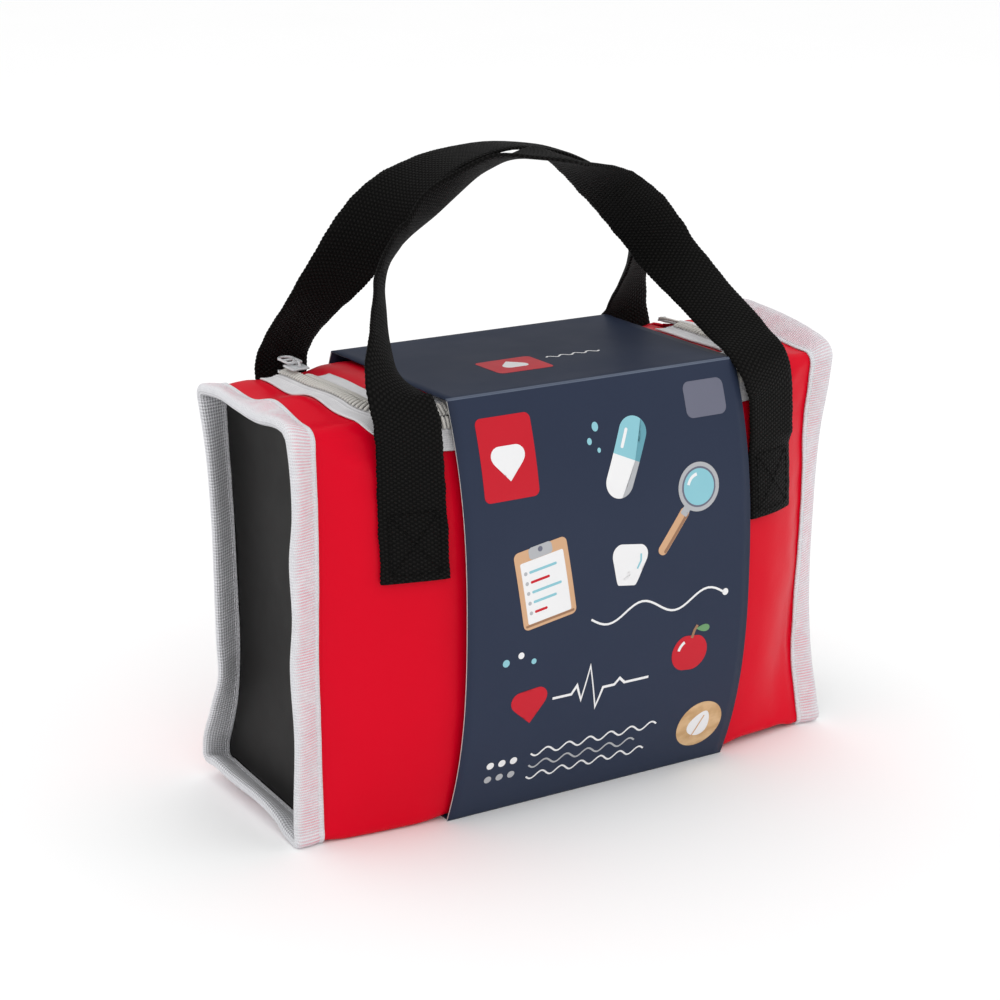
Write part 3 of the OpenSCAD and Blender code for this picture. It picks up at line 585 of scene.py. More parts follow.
def zip_cloth():
    m = Shader("white_zip_tape", Specular_IOR_Level=0.3, Sheen_Weight=0.2, Sheen_Roughness=0.5)
    u, v = m.cloth()
    warp = v.wave(0.9)
    weft = u.wave(0.7)
    # painted shade: the tape beside and under the coil is darkened where the coil would shade it
    painted_shade_beside_coil = 1.0 - v.above(4.3, 0.8)
    white = m.mix(m.noise(180, 2), (0.66, 0.65, 0.67), (0.84, 0.835, 0.84))
    # the gaps between the threads are darkened as painted shade
    threads = m.mix((1.0 - warp) * 0.3 + (1.0 - weft) * 0.15, white, (0.45, 0.44, 0.47))
    m.set("Base Color", m.mix(painted_shade_beside_coil * 0.6, threads, (0.34, 0.33, 0.32)))
    m.set("Roughness", 0.8 + warp * 0.08)
    m.bump((warp * 0.7 + weft * 0.3, 0.00012), (m.noise(90, 2), 0.0003))
    return m.material


def plain(name, dark, light, rough=0.4, grain=260, depth=0.00003, **sockets):
    """A moulded or painted surface: slight changes of colour and gloss, and a fine grain."""
    m = Shader(name, **sockets)
    m.set("Base Color", m.mix(m.noise(30, 3), dark, light))
    m.set("Roughness", rough + m.noise(grain / 4, 2) * 0.1)
    m.bump((m.noise(grain, 3), depth))
    return m.material


def card():
    """Dull printed card, with fibres under the ink and a slight cockle."""
    m = Shader("navy_card", Specular_IOR_Level=0.12, Coat_Weight=0.03, Coat_Roughness=0.3)
    fibre = m.noise(900, 3)
    m.set("Base Color", m.mix(m.noise(18, 3) * 0.7 + fibre * 0.3, (0.021, 0.030, 0.058), (0.027, 0.037, 0.069)))
    m.set("Roughness", 0.44 + m.noise(50, 3) * 0.12)
    m.bump((m.noise(700, 3), 0.00002), (m.noise(12, 1), 0.0008))
    return m.material


def wood(name, dark, light):
    m = Shader(name)
    spot = m.place((1, 1, 1))
    inputs = {"Vector": spot, "Scale": 110.0, "Distortion": 5.0, "Detail": 3.0, "Detail Scale": 1.4}
    rings = m.node("ShaderNodeTexWave", {"wave_type": "BANDS", "bands_direction": "Y"}, inputs, "Fac")
    pores = m.noise(900, 2, (0.05, 1, 1))
    m.set("Base Color", m.mix(rings * 0.6 + pores * 0.4, light, dark))
    m.set("Roughness", 0.42 + pores * 0.18)
    m.bump((rings, 0.00004), (pores, 0.00005))
    return m.material


RED = red_vinyl()
BLACK_CLOTH = black_cloth()
WEBBING = webbing()
ZIP_CLOTH = zip_cloth()
CARD = card()
THREAD = plain("black_thread", (0.001, 0.001, 0.001), (0.006, 0.0055, 0.005), 0.8, 2400, 0.00008,
               Specular_IOR_Level=0.1)
PALE_THREAD = plain("pale_thread", (0.60, 0.60, 0.63), (0.82, 0.82, 0.84), 0.7, 2400, 0.00008)
COIL = plain("cream_coil", (0.56, 0.54, 0.50), (0.70, 0.68, 0.64), 0.3, 700, Specular_IOR_Level=0.5)
ENAMEL = plain("white_enamel", (0.50, 0.51, 0.53), (0.66, 0.67, 0.68), 0.24, 500,
               Coat_Weight=0.4, Coat_Roughness=0.12)
METAL = plain("zip_metal", (0.50, 0.51, 0.53), (0.64, 0.65, 0.66), 0.26, 800, Metallic=1.0)
CARD_EDGE = plain("card_edge", (0.52, 0.51, 0.50), (0.66, 0.65, 0.63), 0.8, 1500, 0.00006)
WORN = plain("worn_crease", (0.06, 0.08, 0.13), (0.13, 0.16, 0.22), 0.6, 1500, 0.00006)
BOARD = plain("grey_board", (0.20, 0.17, 0.13), (0.32, 0.27, 0.21), 0.85, 900, 0.0001)
BEECH = wood("clear_beech", (0.42, 0.22, 0.095), (0.62, 0.37, 0.19))
WHITE_PAINT = plain("white_lacquer", (0.74, 0.74, 0.72), (0.84, 0.84, 0.82), 0.22, 300,
                    Coat_Weight=0.5, Coat_Roughness=0.1)
RED_PAINT = plain("red_lacquer", (0.42, 0.004, 0.018), (0.54, 0.008, 0.028), 0.2, 300,
                  Coat_Weight=0.6, Coat_Roughness=0.08)
BLUE_PAINT = plain("blue_lacquer", (0.22, 0.50, 0.62), (0.32, 0.62, 0.72), 0.24, 300,
                   Coat_Weight=0.5, Coat_Roughness=0.1)
GREY_METAL = plain("satin_aluminium", (0.42, 0.43, 0.44), (0.56, 0.57, 0.58), 0.3, 900, Metallic=1.0)
BLACK_PLASTIC = plain("black_plastic", (0.006, 0.006, 0.006), (0.014, 0.014, 0.014), 0.2, 400,
                      Coat_Weight=0.3, Coat_Roughness=0.1)
PLASTER = plain("skin_coloured_plaster", (0.60, 0.36, 0.23), (0.70, 0.45, 0.31), 0.75, 1200, 0.0001)

# the CAD nodes that keep their own shape
for node, material in (
        ("base_board", BOARD), ("tongue_depressor", BEECH), ("thermometer", WHITE_PAINT),
        ("sticking_plaster", PLASTER), ("bottle_body", BLUE_PAINT), ("bottle_cap", WHITE_PAINT),
        ("hammer_handle", BEECH), ("hammer_head", RED_PAINT), ("otoscope_handle", GREY_METAL),
        ("otoscope_cup", BLACK_PLASTIC), ("syringe_barrel", WHITE_PAINT), ("syringe_plunger", BEECH),
        ("syringe_thumb_disc", RED_PAINT), ("stethoscope_arms", BEECH), ("stethoscope_joint", RED_PAINT),
        ("stethoscope_ear_tips", RED_PAINT), ("stethoscope_chest_piece", RED_PAINT)):
    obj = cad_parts[node]
    obj.data.materials.clear()
    obj.data.materials.append(material)


def finish_piece(obj, body, slot, *nodes):
    """Says what a rigid piece rides on and the CAD nodes that it stands for, which it hides; its finish, slot,
    is not used.
    """
    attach(obj, body)
    if nodes:
        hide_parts(*nodes)


# ---------------------------------------------------------------- the red body and its lid
def steps(*stops):
    """Places from stop to stop: (end, spacing) pairs after the start."""
    places = [stops[0]]
    for end, gap in stops[1:]:
        n = max(1, round(abs(end - places[-1]) / gap))
        places += list(np.linspace(places[-1], end, n + 1)[1:])
    return np.array(places)


def cut_to_zip(xs, ss, edge, keep_outside):
    """Grid places and kept quads on one side of the zip, with the cut edge drawn true."""
    x, s = np.meshgrid(xs, ss, indexing="ij")
    fold_back = np.where(s > AROUND / 2, s - AROUND, s)
    d = zip_distance(x, fold_back)
    cx = (x[:-1, :-1] + x[1:, 1:]) / 2
    cs = (fold_back[:-1, :-1] + fold_back[1:, 1:]) / 2
    inside = (zip_distance(cx, cs) < edge) & (cs > LID_LINE_S) & (cs < 80)
    keep = ~inside if keep_outside else inside
    touched = np.zeros(x.shape, int)
    kept = np.zeros(x.shape, int)
    for i in (0, 1):
        for j in (0, 1):
            touched[i:x.shape[0] - 1 + i, j:x.shape[1] - 1 + j] += 1
            kept[i:x.shape[0] - 1 + i, j:x.shape[1] - 1 + j] += keep
    border = (kept > 0) & (kept < touched) & (fold_back > LID_LINE_S + 0.1) & (np.abs(d - edge) < 3)
    h = 0.05  # half the step that the slope of the distance is taken over
    gx = (zip_distance(x + h, fold_back) - zip_distance(x - h, fold_back)) / (2 * h)
    gs = (zip_distance(x, fold_back + h) - zip_distance(x, fold_back - h)) / (2 * h)
    x = np.where(border, x - gx * (d - edge), x)
    s = np.where(border, s - gs * (d - edge), s)
    return x, s, keep.ravel()


front_low_fold, base_flat, rear_low_fold = (BASE_FOLD + run for run in (7.9, 76.9, 84.7))
xs = steps(-RIM, (-END, 1.6), (-100, 2.1), (100, 2.6), (END, 2.1), (RIM, 1.6))
ss = steps(LID_LINE_S, (-FOLD_START, 0.75), (FOLD_START, 2.2), (FRONT_FOLD_END, 0.8), (BASE_FOLD, 2.6),
           (front_low_fold, 1.0), (base_flat, 4.5), (rear_low_fold, 1.0), (REAR_TOP_FOLD, 2.6),
           (AROUND + LID_LINE_S, 0.8))
x, s, keep = cut_to_zip(xs, ss, ZIP_CUT, True)
wrap = grid("vinyl_body", place(x, s), RED, keep=keep, flip=True)
wall(wrap, VINYL)
finish_piece(wrap, "case", "red_vinyl", "vinyl_wrap")

LID_X = ZIP_X - ZIP_CUT
xs = steps(-LID_X, (-70, 1.6), (70, 2.6), (LID_X, 1.6))
ss = steps(LID_LINE_S, (-FOLD_START, 0.75), (FOLD_START, 2.0), (ZIP_FRONT_S - 3, 0.8))
x, s, keep = cut_to_zip(xs, ss, -ZIP_CUT, False)
lid = grid("lid_panel_vinyl", place(x, s), RED, keep=keep, flip=True)
wall(lid, VINYL)
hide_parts("lid_panel")
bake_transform(lid)


# ---------------------------------------------------------------- end panels and their binding
def around_end(gap):
    """Places all round the outline, about gap apart."""
    return np.linspace(0, AROUND, round(AROUND / gap), endpoint=False)


def end_panel(side, name):
    """The black end: a slack face, and its edge turned out along the body's inside."""
    ring_s = around_end(2.4)
    deep = VINYL + LAYER
    rows = [(RIM - 0.3, -deep), (RIM - 3, -deep), (RIM - 6, -deep), (END + 4, -deep - 0.1),
            (END + 1.6, -deep - 0.4), (END + 0.5, -deep - 1.4), (END + 0.1, -deep - 2.8)]
    points = [place(side * x, ring_s, out) for x, out in rows]
    edge = grid(name + "_edge", np.array(points), BLACK_CLOTH, ring=True, flip=side > 0)
    half_fold = FOLD * math.pi / 4
    corners = [FRONT_FOLD_END - half_fold, BASE_FOLD + half_fold]
    corners += [AROUND - c for c in corners[::-1]]
    share_y, share_z = np.linspace(0, 1, 34), np.linspace(0, 1, 60)

    def run(a, b, share):
        return place(side * (END + 0.1), a + (b - a) * share, -deep - 2.8)

    front, rear = run(corners[1], corners[0], share_z), run(corners[2], corners[3], share_z)
    low, high = run(corners[1], corners[2], share_y), run(corners[0], corners[3] - AROUND, share_y)
    a, b = share_z[:, None, None], share_y[None, :, None]
    flat = ((1 - b) * front[:, None] + b * rear[:, None] + (1 - a) * low[None] + a * high[None]
            - (1 - a) * (1 - b) * low[0] - (1 - a) * b * low[-1] - a * (1 - b) * high[0] - a * b * high[-1])
    inside = smooth(np.minimum(np.minimum(a, 1 - a) * 6, np.minimum(b, 1 - b) * 3))[..., 0]
    flat[..., 0] = side * (END + 0.1 - inside * (1.2 + 0.7 * ripple(flat, 60, 21 + side)))
    face = grid(name + "_face", flat, BLACK_CLOTH, flip=side < 0)
    panel = merged(name + "_cloth", [face, edge])
    wall(panel, PANEL)
    finish_piece(panel, "case", "black_panel", name)


end_panel(-1, "left_end_panel")
end_panel(1, "right_end_panel")


def binding_profile():
    """The folded tape's outside and lining: x from the case's middle, and distance out from the skin."""
    out_top, inner = BINDING + LAYER, -(VINYL + PANEL + 3 * LAYER) - BINDING
    centre, radius = (out_top + inner) / 2, (out_top - inner) / 2
    outer = [(END + 1, out_top - 0.25), (END + 1.25, out_top + 0.05), (END + 2.2, out_top),
             (END + 3.2, out_top - 0.12), (END + 4.4, out_top + 0.05), (END + 7, out_top + 0.25),
             (END + 9.4, out_top + 0.25)]
    turn = [(TIP - radius + radius * math.cos(a), centre + (radius + 0.25) * math.sin(a))
            for a in np.radians(np.linspace(72, -72, 9))]
    back = [(x, 2 * centre - d) for x, d in outer[::-1]]
    shell = outer + turn + back
    lining = [(END + 1, inner + BINDING), (END + 6, inner + BINDING), (TIP - 2.4, inner + BINDING + 0.1),
              (TIP - 0.8, centre), (TIP - 2.4, out_top - BINDING - 0.1), (END + 6, LAYER * 0.6),
              (END + 1, LAYER * 0.6)]
    return np.array(shell), np.array(lining)


SHELL, LINING = binding_profile()
shell_run = run_along(SHELL)
TAPE = binding_tape(float(shell_run[-1]))


def binding(side, name):
    ring_s = around_end(1.6)
    section = np.vstack([SHELL, LINING])
    wide = ripple(np.stack([ring_s, ring_s * 0, ring_s * 0], -1), 46, 31 + side) * 0.35
    rows = []
    for x, out in section:
        edge = smooth((END + 2.5 - x) / 1.5) * wide
        rows.append(place(side * (x + edge), ring_s, out))
    points = np.array(rows).transpose(1, 0, 2)
    points[..., 2] = np.maximum(points[..., 2], 0.02)
    along = np.concatenate([ring_s, [AROUND]])
    across = np.concatenate([shell_run, shell_run[-1] + np.cumsum(np.ones(len(LINING) + 1))])
    obj = grid(name + "_tape", points, TAPE, along=along, across=across, loop=True, ring=True, flip=side < 0)
    finish_piece(obj, "case", "binding", name)


binding(-1, "left_binding")
binding(1, "right_binding")


def stitches(name, marks, radius, material):
    """Short threads between pairs of points, each a small rounded rod."""
    points, faces = [], []
    for a, b, up in marks:
        a, b, up = np.array(a), np.array(b), np.array(up)
        t = unit(b - a)
        side = unit(np.cross(t, up))
        base = len(points)
        for k, share in ((0.0, 0.35), (0.2, 0.9), (0.5, 1.0), (0.8, 0.9), (1.0, 0.35)):
            for q in range(6):
                ang = q * math.pi / 3
                out = side * math.cos(ang) + up * 0.8 * math.sin(ang)
                points.append(a + (b - a) * k + radius * share * out)
        for i in range(4):
            for q in range(6):
                here, after = base + i * 6 + q, base + i * 6 + (q + 1) % 6
                faces.append((here, after, after + 6, here + 6))
        faces.append(tuple(base + q for q in range(5, -1, -1)))
        faces.append(tuple(base + 24 + q for q in range(6)))
    return make(name, points, faces, material)


def binding_seam(side, name):
    """The two rows of thread that hold a binding, left out where it stands on the floor."""
    marks = []
    pitch, length, clear_of_floor = 3.4, 2.3, 0.6
    starts = np.arange(0, AROUND - 2, pitch)
    x = side * (END + 3.2)
    for out, up in ((BINDING + LAYER - 0.02, 1), (-(VINYL + PANEL + 3 * LAYER) - BINDING + 0.02, -1)):
        a = place(x, starts, out)
        b = place(x, starts + length, out)
        _, _, ny, nz = outline(starts)
        for p, q, y, z in zip(a, b, ny, nz):
            if min(p[2], q[2]) > clear_of_floor:
                marks.append((p, q, (0, y * up, z * up)))
    obj = stitches(name, marks, 0.2, PALE_THREAD)
    finish_piece(obj, "case", "thread")


binding_seam(-1, "left_binding_seam")
binding_seam(1, "right_binding_seam")

# ---------------------------------------------------------------- zip
SIDE_RUN = CORNER_S - ZIP_REAR_S
CORNER_RUN = ZIP_R * math.pi / 2
HALF_RUN = SIDE_RUN + CORNER_RUN + ZIP_X - ZIP_R
TAPE_OUT = 2 * LAYER
TEETH_OUT = TAPE_OUT + TAPE_T + 2 * LAYER
PARK = 14


def zip_at(t):
    """A place on the zip's line in the top's surface, and its direction."""
    right = t > HALF_RUN
    t = np.where(right, 2 * HALF_RUN - t, t)
    a = np.clip((t - SIDE_RUN) / ZIP_R, 0, math.pi / 2)
    x = -ZIP_X + ZIP_R * (1 - np.cos(a)) + np.maximum(t - SIDE_RUN - CORNER_RUN, 0)
    s = ZIP_REAR_S + np.minimum(t, SIDE_RUN) + ZIP_R * np.sin(a)
    return np.where(right, -x, x), s, np.where(right, math.pi - a, a)


def beside_zip(t, d, out):
    """A point d outwards from the zip's line, at t along it and out from the skin."""
    x, s, a = zip_at(t)
    return place(x - d * np.cos(a), s + d * np.sin(a), out)


def zip_tape(name, start, side):
    """Woven tape beside the coil, on the body's side (1) or the lid's (-1)."""
    t = np.linspace(start, 2 * HALF_RUN - start, 260)
    widths = np.array([0.15, 1.6, 3.2, 4.1, 4.7, 5.2, 5.7, 6.2, 7.4, 8.8, 10.2, 11.3, 12.0])
    outs = TAPE_OUT + TAPE_T + np.array([0, 0, 0.05, 0.1, 0.55, 0.2, 0.5, 0.15, 0.1, 0.1, 0.05, 0.12, -0.1])
    sag = 0.35 * ripple(np.stack([t, t * 0, t * 0], -1), 30, 41 + side)
    edge = 0.3 * ripple(np.stack([t, t * 0, t * 0], -1), 22, 51 + side)
    rows = []
    for d, out in zip(widths, outs):
        loose = smooth((d - 2) / 3) * smooth((11.5 - d) / 4)
        rows.append(beside_zip(t, side * (d + edge * smooth((d - 8) / 4)), out + sag * loose))
    obj = grid(name, np.array(rows).transpose(1, 0, 2), ZIP_CLOTH, flip=side > 0)
    wall(obj, TAPE_T * 0.75)
    return obj


def coil(name, start, side):
    """One row of the coil: a rounded loop for each turn."""
    points, faces = [], []
    pitch, margin, lift = 1.8, 1.2, 0.62
    long_half, high_half = 0.68, 0.62
    t = np.arange(start + margin, 2 * HALF_RUN - start - margin, pitch)
    profile = [(0.15, 0.45), (0.4, 0.85), (1.2, 1.0), (2.5, 0.95), (3.5, 0.95), (3.9, 0.5)]
    rows = []
    for d, r in profile:
        out = TEETH_OUT + lift
        mid = beside_zip(t, side * d, out)
        ahead = beside_zip(t + 0.3, side * d, out) - beside_zip(t - 0.3, side * d, out)
        up = beside_zip(t, side * d, out + 0.5) - mid
        rows.append((mid, unit(ahead), unit(up), r))
    for i in range(len(t)):
        base = len(points)
        for mid, ahead, up, r in rows:
            for q in range(8):
                a = q * math.pi / 4
                out = long_half * math.cos(a) * ahead[i] + high_half * math.sin(a) * up[i]
                points.append(mid[i] + r * out)
        for k in range(len(profile) - 1):
            for q in range(8):
                here, after = base + k * 8 + q, base + k * 8 + (q + 1) % 8
                f = (here, here + 8, after + 8, after)
                faces.append(f if side > 0 else f[::-1])
        top = tuple(base + q for q in range(8))
        end = tuple(base + len(profile) * 8 - 8 + q for q in range(7, -1, -1))
        faces += [top, end] if side > 0 else [top[::-1], end[::-1]]
    return make(name, points, faces, COIL)


finish_piece(zip_tape("zip_tape_body", 0.0, 1), "case", "zip_tape", "zip_tape_case")
finish_piece(zip_tape("zip_tape_of_lid", PARK, -1), "lid", "zip_tape", "zip_tape_lid")
finish_piece(coil("zip_coil_body", 0.0, 1), "case", "zip_coil", "zip_teeth_case")
finish_piece(coil("zip_coil_of_lid", PARK, -1), "lid", "zip_coil", "zip_teeth_lid")

stops = []
for t in (0.5, 2 * HALF_RUN - 0.5):
    spot = beside_zip(np.array(t), 2.1, TEETH_OUT + 0.45)
    stops.append(block("end_stops", (3.6, 1.3, 1.5), spot, METAL, 0.25))
finish_piece(merged("end_stops", stops), "case", "zip_metal", "zip_end_stops")

# slider and pull, on the CAD's places
low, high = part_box("zip_slider")
low, high = np.array(low) * 1000, np.array(high) * 1000
mid = (low + high) / 2
plate_top = high[2] - 2.6
slider = merged("slider", [
    block("slider", (7.8, high[1] - low[1] - 0.1, 0.95), (mid[0], mid[1], plate_top - 0.5), ENAMEL, 0.42),
    block("slider_under", (6.2, high[1] - low[1] - 0.2, 0.9), (mid[0], mid[1], low[2] + 0.5), ENAMEL, 0.4),
    block("slider_post", (0.22, 2.2, plate_top - low[2] - 0.6),
          (mid[0], high[1] - 1.25, (plate_top + low[2]) / 2), ENAMEL, 0.08),
    tube("slider_bridge", [(mid[0], low[1] + 1.5, plate_top - 0.3), (mid[0], low[1] + 1.55, plate_top + 1.0),
                           (mid[0], low[1] + 2.2, plate_top + 1.95), (mid[0], mid[1], plate_top + 2.15),
                           (mid[0], high[1] - 2.2, plate_top + 1.95), (mid[0], high[1] - 1.55, plate_top + 1.0),
                           (mid[0], high[1] - 1.5, plate_top - 0.3)], 0.45, ENAMEL)])
finish_piece(slider, "slider", "zip_coil", "zip_slider")

low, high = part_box("zip_pull")
low, high = np.array(low) * 1000, np.array(high) * 1000
mid = (low + high) / 2
ring_y = high[1] - 3.6
pin_y = low[1] + 0.6
half = (high[0] - low[0]) / 2 - 0.5
wire = half - 0.1
path = [(mid[0] - wire, pin_y, mid[2]), (mid[0] - wire, pin_y + 2.5, mid[2])]
for a in np.radians(np.linspace(200, -20, 15)):
    path.append((mid[0] + wire * math.cos(a), ring_y + 3.0 * math.sin(a), mid[2]))
path += [(mid[0] + wire, pin_y + 2.5, mid[2]), (mid[0] + wire, pin_y, mid[2])]
bar = [(mid[0] + side * (half - 0.4), ring_y - 2.4, mid[2]) for side in (-1, 1)]
pull = merged("pull", [tube("pull", path, 0.55, ENAMEL, loop=True), tube("pull_bar", bar, 0.5, ENAMEL)])
finish_piece(pull, "pull", "zip_coil", "zip_pull")

# ---------------------------------------------------------------- handles
# Knots from the left leg over the arch to the right leg: x as a share of the legs' half distance, lean over the
# lid and rise above it as shares of their greatest, and how far the band is turned, in degrees
FRONT_KNOTS = [
    (-1, -0.024, -0.19, -10), (-1.006, -0.022, -0.095, -8), (-1.012, 0, 0, -3), (-1.012, 0.083, 0.071, 3),
    (-0.984, 0.275, 0.155, 14), (-0.919, 0.523, 0.25, 28), (-0.852, 0.734, 0.355, 40.4),
    (-0.803, 0.881, 0.453, 48.6), (-0.743, 0.972, 0.548, 52.8), (-0.667, 1, 0.637, 50.9),
    (-0.613, 1, 0.683, 52.3), (-0.509, 0.982, 0.787, 42.3), (-0.389, 0.938, 0.881, 47.9),
    (-0.249, 0.858, 0.977, 60), (-0.089, 0.778, 1.01, 82.4), (0.054, 0.741, 1.01, 94.6),
    (0.167, 0.795, 0.969, 86.6), (0.323, 0.874, 0.896, 70), (0.455, 0.954, 0.817, 54.3),
    (0.552, 0.982, 0.744, 44.5), (0.649, 1, 0.66, 33.5), (0.719, 1, 0.589, 25.9), (0.781, 0.972, 0.506, 17),
    (0.825, 0.881, 0.42, 5.5), (0.868, 0.734, 0.332, 0.4), (0.905, 0.523, 0.228, -1.2),
    (0.935, 0.275, 0.122, -1.8), (0.946, 0.083, 0.045, -6.4), (0.958, 0, -0.018, -9),
    (0.982, -0.022, -0.1, -11), (1, -0.024, -0.19, -12)]
REAR_KNOTS = [
    (-1, 0.045, -0.19, -10), (-1, 0.009, -0.095, -12), (-0.994, 0, 0, -12), (-0.983, 0.076, 0.071, -12),
    (-0.965, 0.212, 0.155, -12), (-0.936, 0.409, 0.25, -9), (-0.901, 0.591, 0.345, -3),
    (-0.86, 0.727, 0.429, 6), (-0.814, 0.833, 0.512, 16), (-0.765, 0.9, 0.595, 26),
    (-0.715, 0.945, 0.667, 36), (-0.645, 0.979, 0.75, 48), (-0.57, 0.991, 0.821, 60),
    (-0.453, 0.985, 0.893, 74), (-0.279, 0.961, 0.964, 86), (-0.006, 0.945, 1.006, 93),
    (0.273, 0.961, 0.964, 89), (0.448, 0.985, 0.893, 82), (0.564, 0.991, 0.821, 75),
    (0.64, 0.979, 0.75, 68), (0.709, 0.945, 0.667, 62), (0.758, 0.9, 0.595, 56), (0.808, 0.833, 0.512, 45),
    (0.855, 0.727, 0.429, 34), (0.893, 0.591, 0.345, 27), (0.924, 0.409, 0.25, 21),
    (0.953, 0.212, 0.155, 14), (0.98, 0.076, 0.071, 9), (0.992, 0, 0, 5), (1, 0.009, -0.095, -2),
    (1, 0.045, -0.19, -8)]
FREE_GAP = 0.4
LEG_OUT = 0.55  # the sewn legs' inner face, out from the skin
ACROSS = np.array([-1, -0.86, -0.6, -0.3, 0, 0.3, 0.6, 0.86, 1.0])  # rows over the band, in half widths


def leg_x(side, leg, z=LEG_TOP):
    """The middle of a leg: in the photo the front legs are sewn a little further right."""
    shift = {-1: 1.1, 1: 1.6}[leg] if side < 0 else 0.0
    return leg * LEG_X + shift * float(smooth((188 - z) / 22))


def foot_y(side, x):
    """Where the free band's middle stands off the skin, at the top of the sewn leg."""
    out = side * (HALF + FREE_GAP + WEBBING_T / 2)
    return float(skin(np.array(float(x)), np.array(out), np.array(float(LEG_TOP)))[1])


def down_side(side, z):
    """The place round the outline of a height on the front or the rear."""
    drop = HEIGHT - FOLD - z
    return FRONT_FOLD_END + drop if side < 0 else REAR_TOP_FOLD - drop


def through(a, b, c, d, t):
    """A point of a smooth curve at share t from knot b to knot c, between knots a and d."""
    return (b * 2 + (c - a) * t + (a * 2 - b * 5 + c * 4 - d) * t**2 + (b * 3 - a - c * 3 + d) * t**3) / 2


def handle_path(side):
    """The free band's middle line, and how far it is turned there."""
    knots, stand_off, lean = (FRONT_KNOTS, 6.2, FRONT_LEAN) if side < 0 else (REAR_KNOTS, 9.7, REAR_LEAN)
    fold_y = float(skin(np.array(float(LEG_X)), np.array(side * HALF), np.array(float(HEIGHT)))[1])
    arch_y = side * (abs(fold_y) + stand_off)
    half_w = WEBBING_W / 2
    foot_slope = abs(foot_y(side, LEG_X - half_w) - foot_y(side, LEG_X + half_w))
    turn = -math.degrees(math.atan2(foot_slope, WEBBING_W))
    rows = [(leg_x(side, -1), foot_y(side, LEG_X), LEG_TOP, turn)]
    for a, b, c, d in knots:
        leg = 1 if a > 0 else -1
        z = HEIGHT + 4 + HANDLE_RISE * c
        rows.append((leg_x(side, leg, z) + LEG_X * (a - leg), arch_y - side * b * lean, z, d))
    rows.append((leg_x(side, 1), foot_y(side, LEG_X), LEG_TOP, turn))
    q = np.array(rows)
    fine = []
    for i in range(len(q) - 1):
        near = q[max(0, i - 1)], q[i], q[i + 1], q[min(len(q) - 1, i + 2)]
        fine += [through(*near, t) for t in np.arange(5) / 5]
    fine = np.array(fine + [q[-1]])
    return fine[:, :3], np.radians(fine[:, 3])


def free_band(side):
    """The free band's middle surface, cupped a little over its arms."""
    pts, angle = handle_path(side)
    tangent = np.zeros_like(pts)
    tangent[1:-1] = unit(pts[2:] - pts[:-2])
    tangent[0], tangent[-1] = (0, 0, 1), (0, 0, -1)
    inward = unit(np.cross([0, 1, 0], tangent))
    other = np.cross(tangent, inward) * -side
    wide = inward * np.cos(angle)[:, None] + other * np.sin(angle)[:, None]
    face = np.cross(wide, tangent) * side
    top = np.exp(-(pts[:, 0] / 34) ** 2)
    cupping = np.clip((pts[:, 2] - HEIGHT) / 25, 0, 1) * (1 - top)
    surface = np.zeros((len(pts), len(ACROSS), 3))
    for j, k in enumerate(ACROSS):
        reach = WEBBING_W / 2 * (SHOWN_WIDTH - 0.05 * cupping) * k
        surface[:, j] = pts + wide * reach[:, None] + face * (1.6 * cupping * (k * k - 0.4))[:, None]
    return surface


def sewn_leg(side, leg):
    """A sewn leg's middle surface, from its bottom up, under the free band's end."""
    zs = np.arange(LEG_BOTTOM, LEG_TOP - 2.6, 1.5)
    rows = np.zeros((len(zs), len(ACROSS), 3))
    for j, k in enumerate(ACROSS):
        x = leg_x(side, leg) - leg * WEBBING_W / 2 * SHOWN_WIDTH * k
        rows[:, j] = place(x, down_side(side, zs), LEG_OUT + WEBBING_T / 2)
    return rows


def handle(side, name, body, tabs):
    """One band of webbing: sewn leg, free leg, arch, free leg and sewn leg, in one mesh."""
    last, row_gap = len(ACROSS) - 1, 0.44
    centre = np.concatenate([sewn_leg(side, -1), free_band(side)[1:-1], sewn_leg(side, 1)[::-1]])
    rough_run = run_along(centre[:, last // 2])
    run = np.linspace(0, rough_run[-1], round(rough_run[-1] / row_gap))
    centre = np.stack([[np.interp(run, rough_run, centre[:, j, k]) for k in range(3)] for j in range(last + 1)])
    centre = centre.transpose(2, 0, 1)
    across_dir = unit(centre[:, -1] - centre[:, 0])
    wander = 0.2 * ripple(np.stack([run, run * 0, run * 0], -1), 9, 61 + side)
    for j, way, start in ((0, -1, 0), (-1, 1, 0.9)):
        scallop = 0.3 * np.abs(np.sin(math.pi * (run + start) / WEBBING_RIB)) - 0.15
        centre[:, j] += across_dir * (way * (scallop + wander))[:, None]
    normal = unit(np.cross(np.gradient(centre, axis=0), np.gradient(centre, axis=1)))
    thick = [WEBBING_T / 2 * (0.62 if j in (0, last) else 1) for j in range(last + 1)]
    upper = [centre[:, j] + normal[:, j] * thick[j] for j in range(last + 1)]
    lower = [centre[:, j] - normal[:, j] * thick[j] for j in range(last, -1, -1)]
    edge = across_dir * 0.3
    points = np.array([*upper, centre[:, last] + edge, *lower, centre[:, 0] - edge]).transpose(1, 0, 2)
    flat = (ACROSS + 1) * WEBBING_W / 2
    across = np.concatenate([flat, [WEBBING_W + 0.5], flat[::-1], [-0.5], [0]])
    obj = grid(name, points, WEBBING, along=run, across=across, ring=True, caps=True, flip=side > 0)
    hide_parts(body, tabs)
    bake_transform(obj)


handle(-1, "front_webbing", "front_handle", "front_handle_tabs")
handle(1, "rear_webbing", "rear_handle", "rear_handle_tabs")


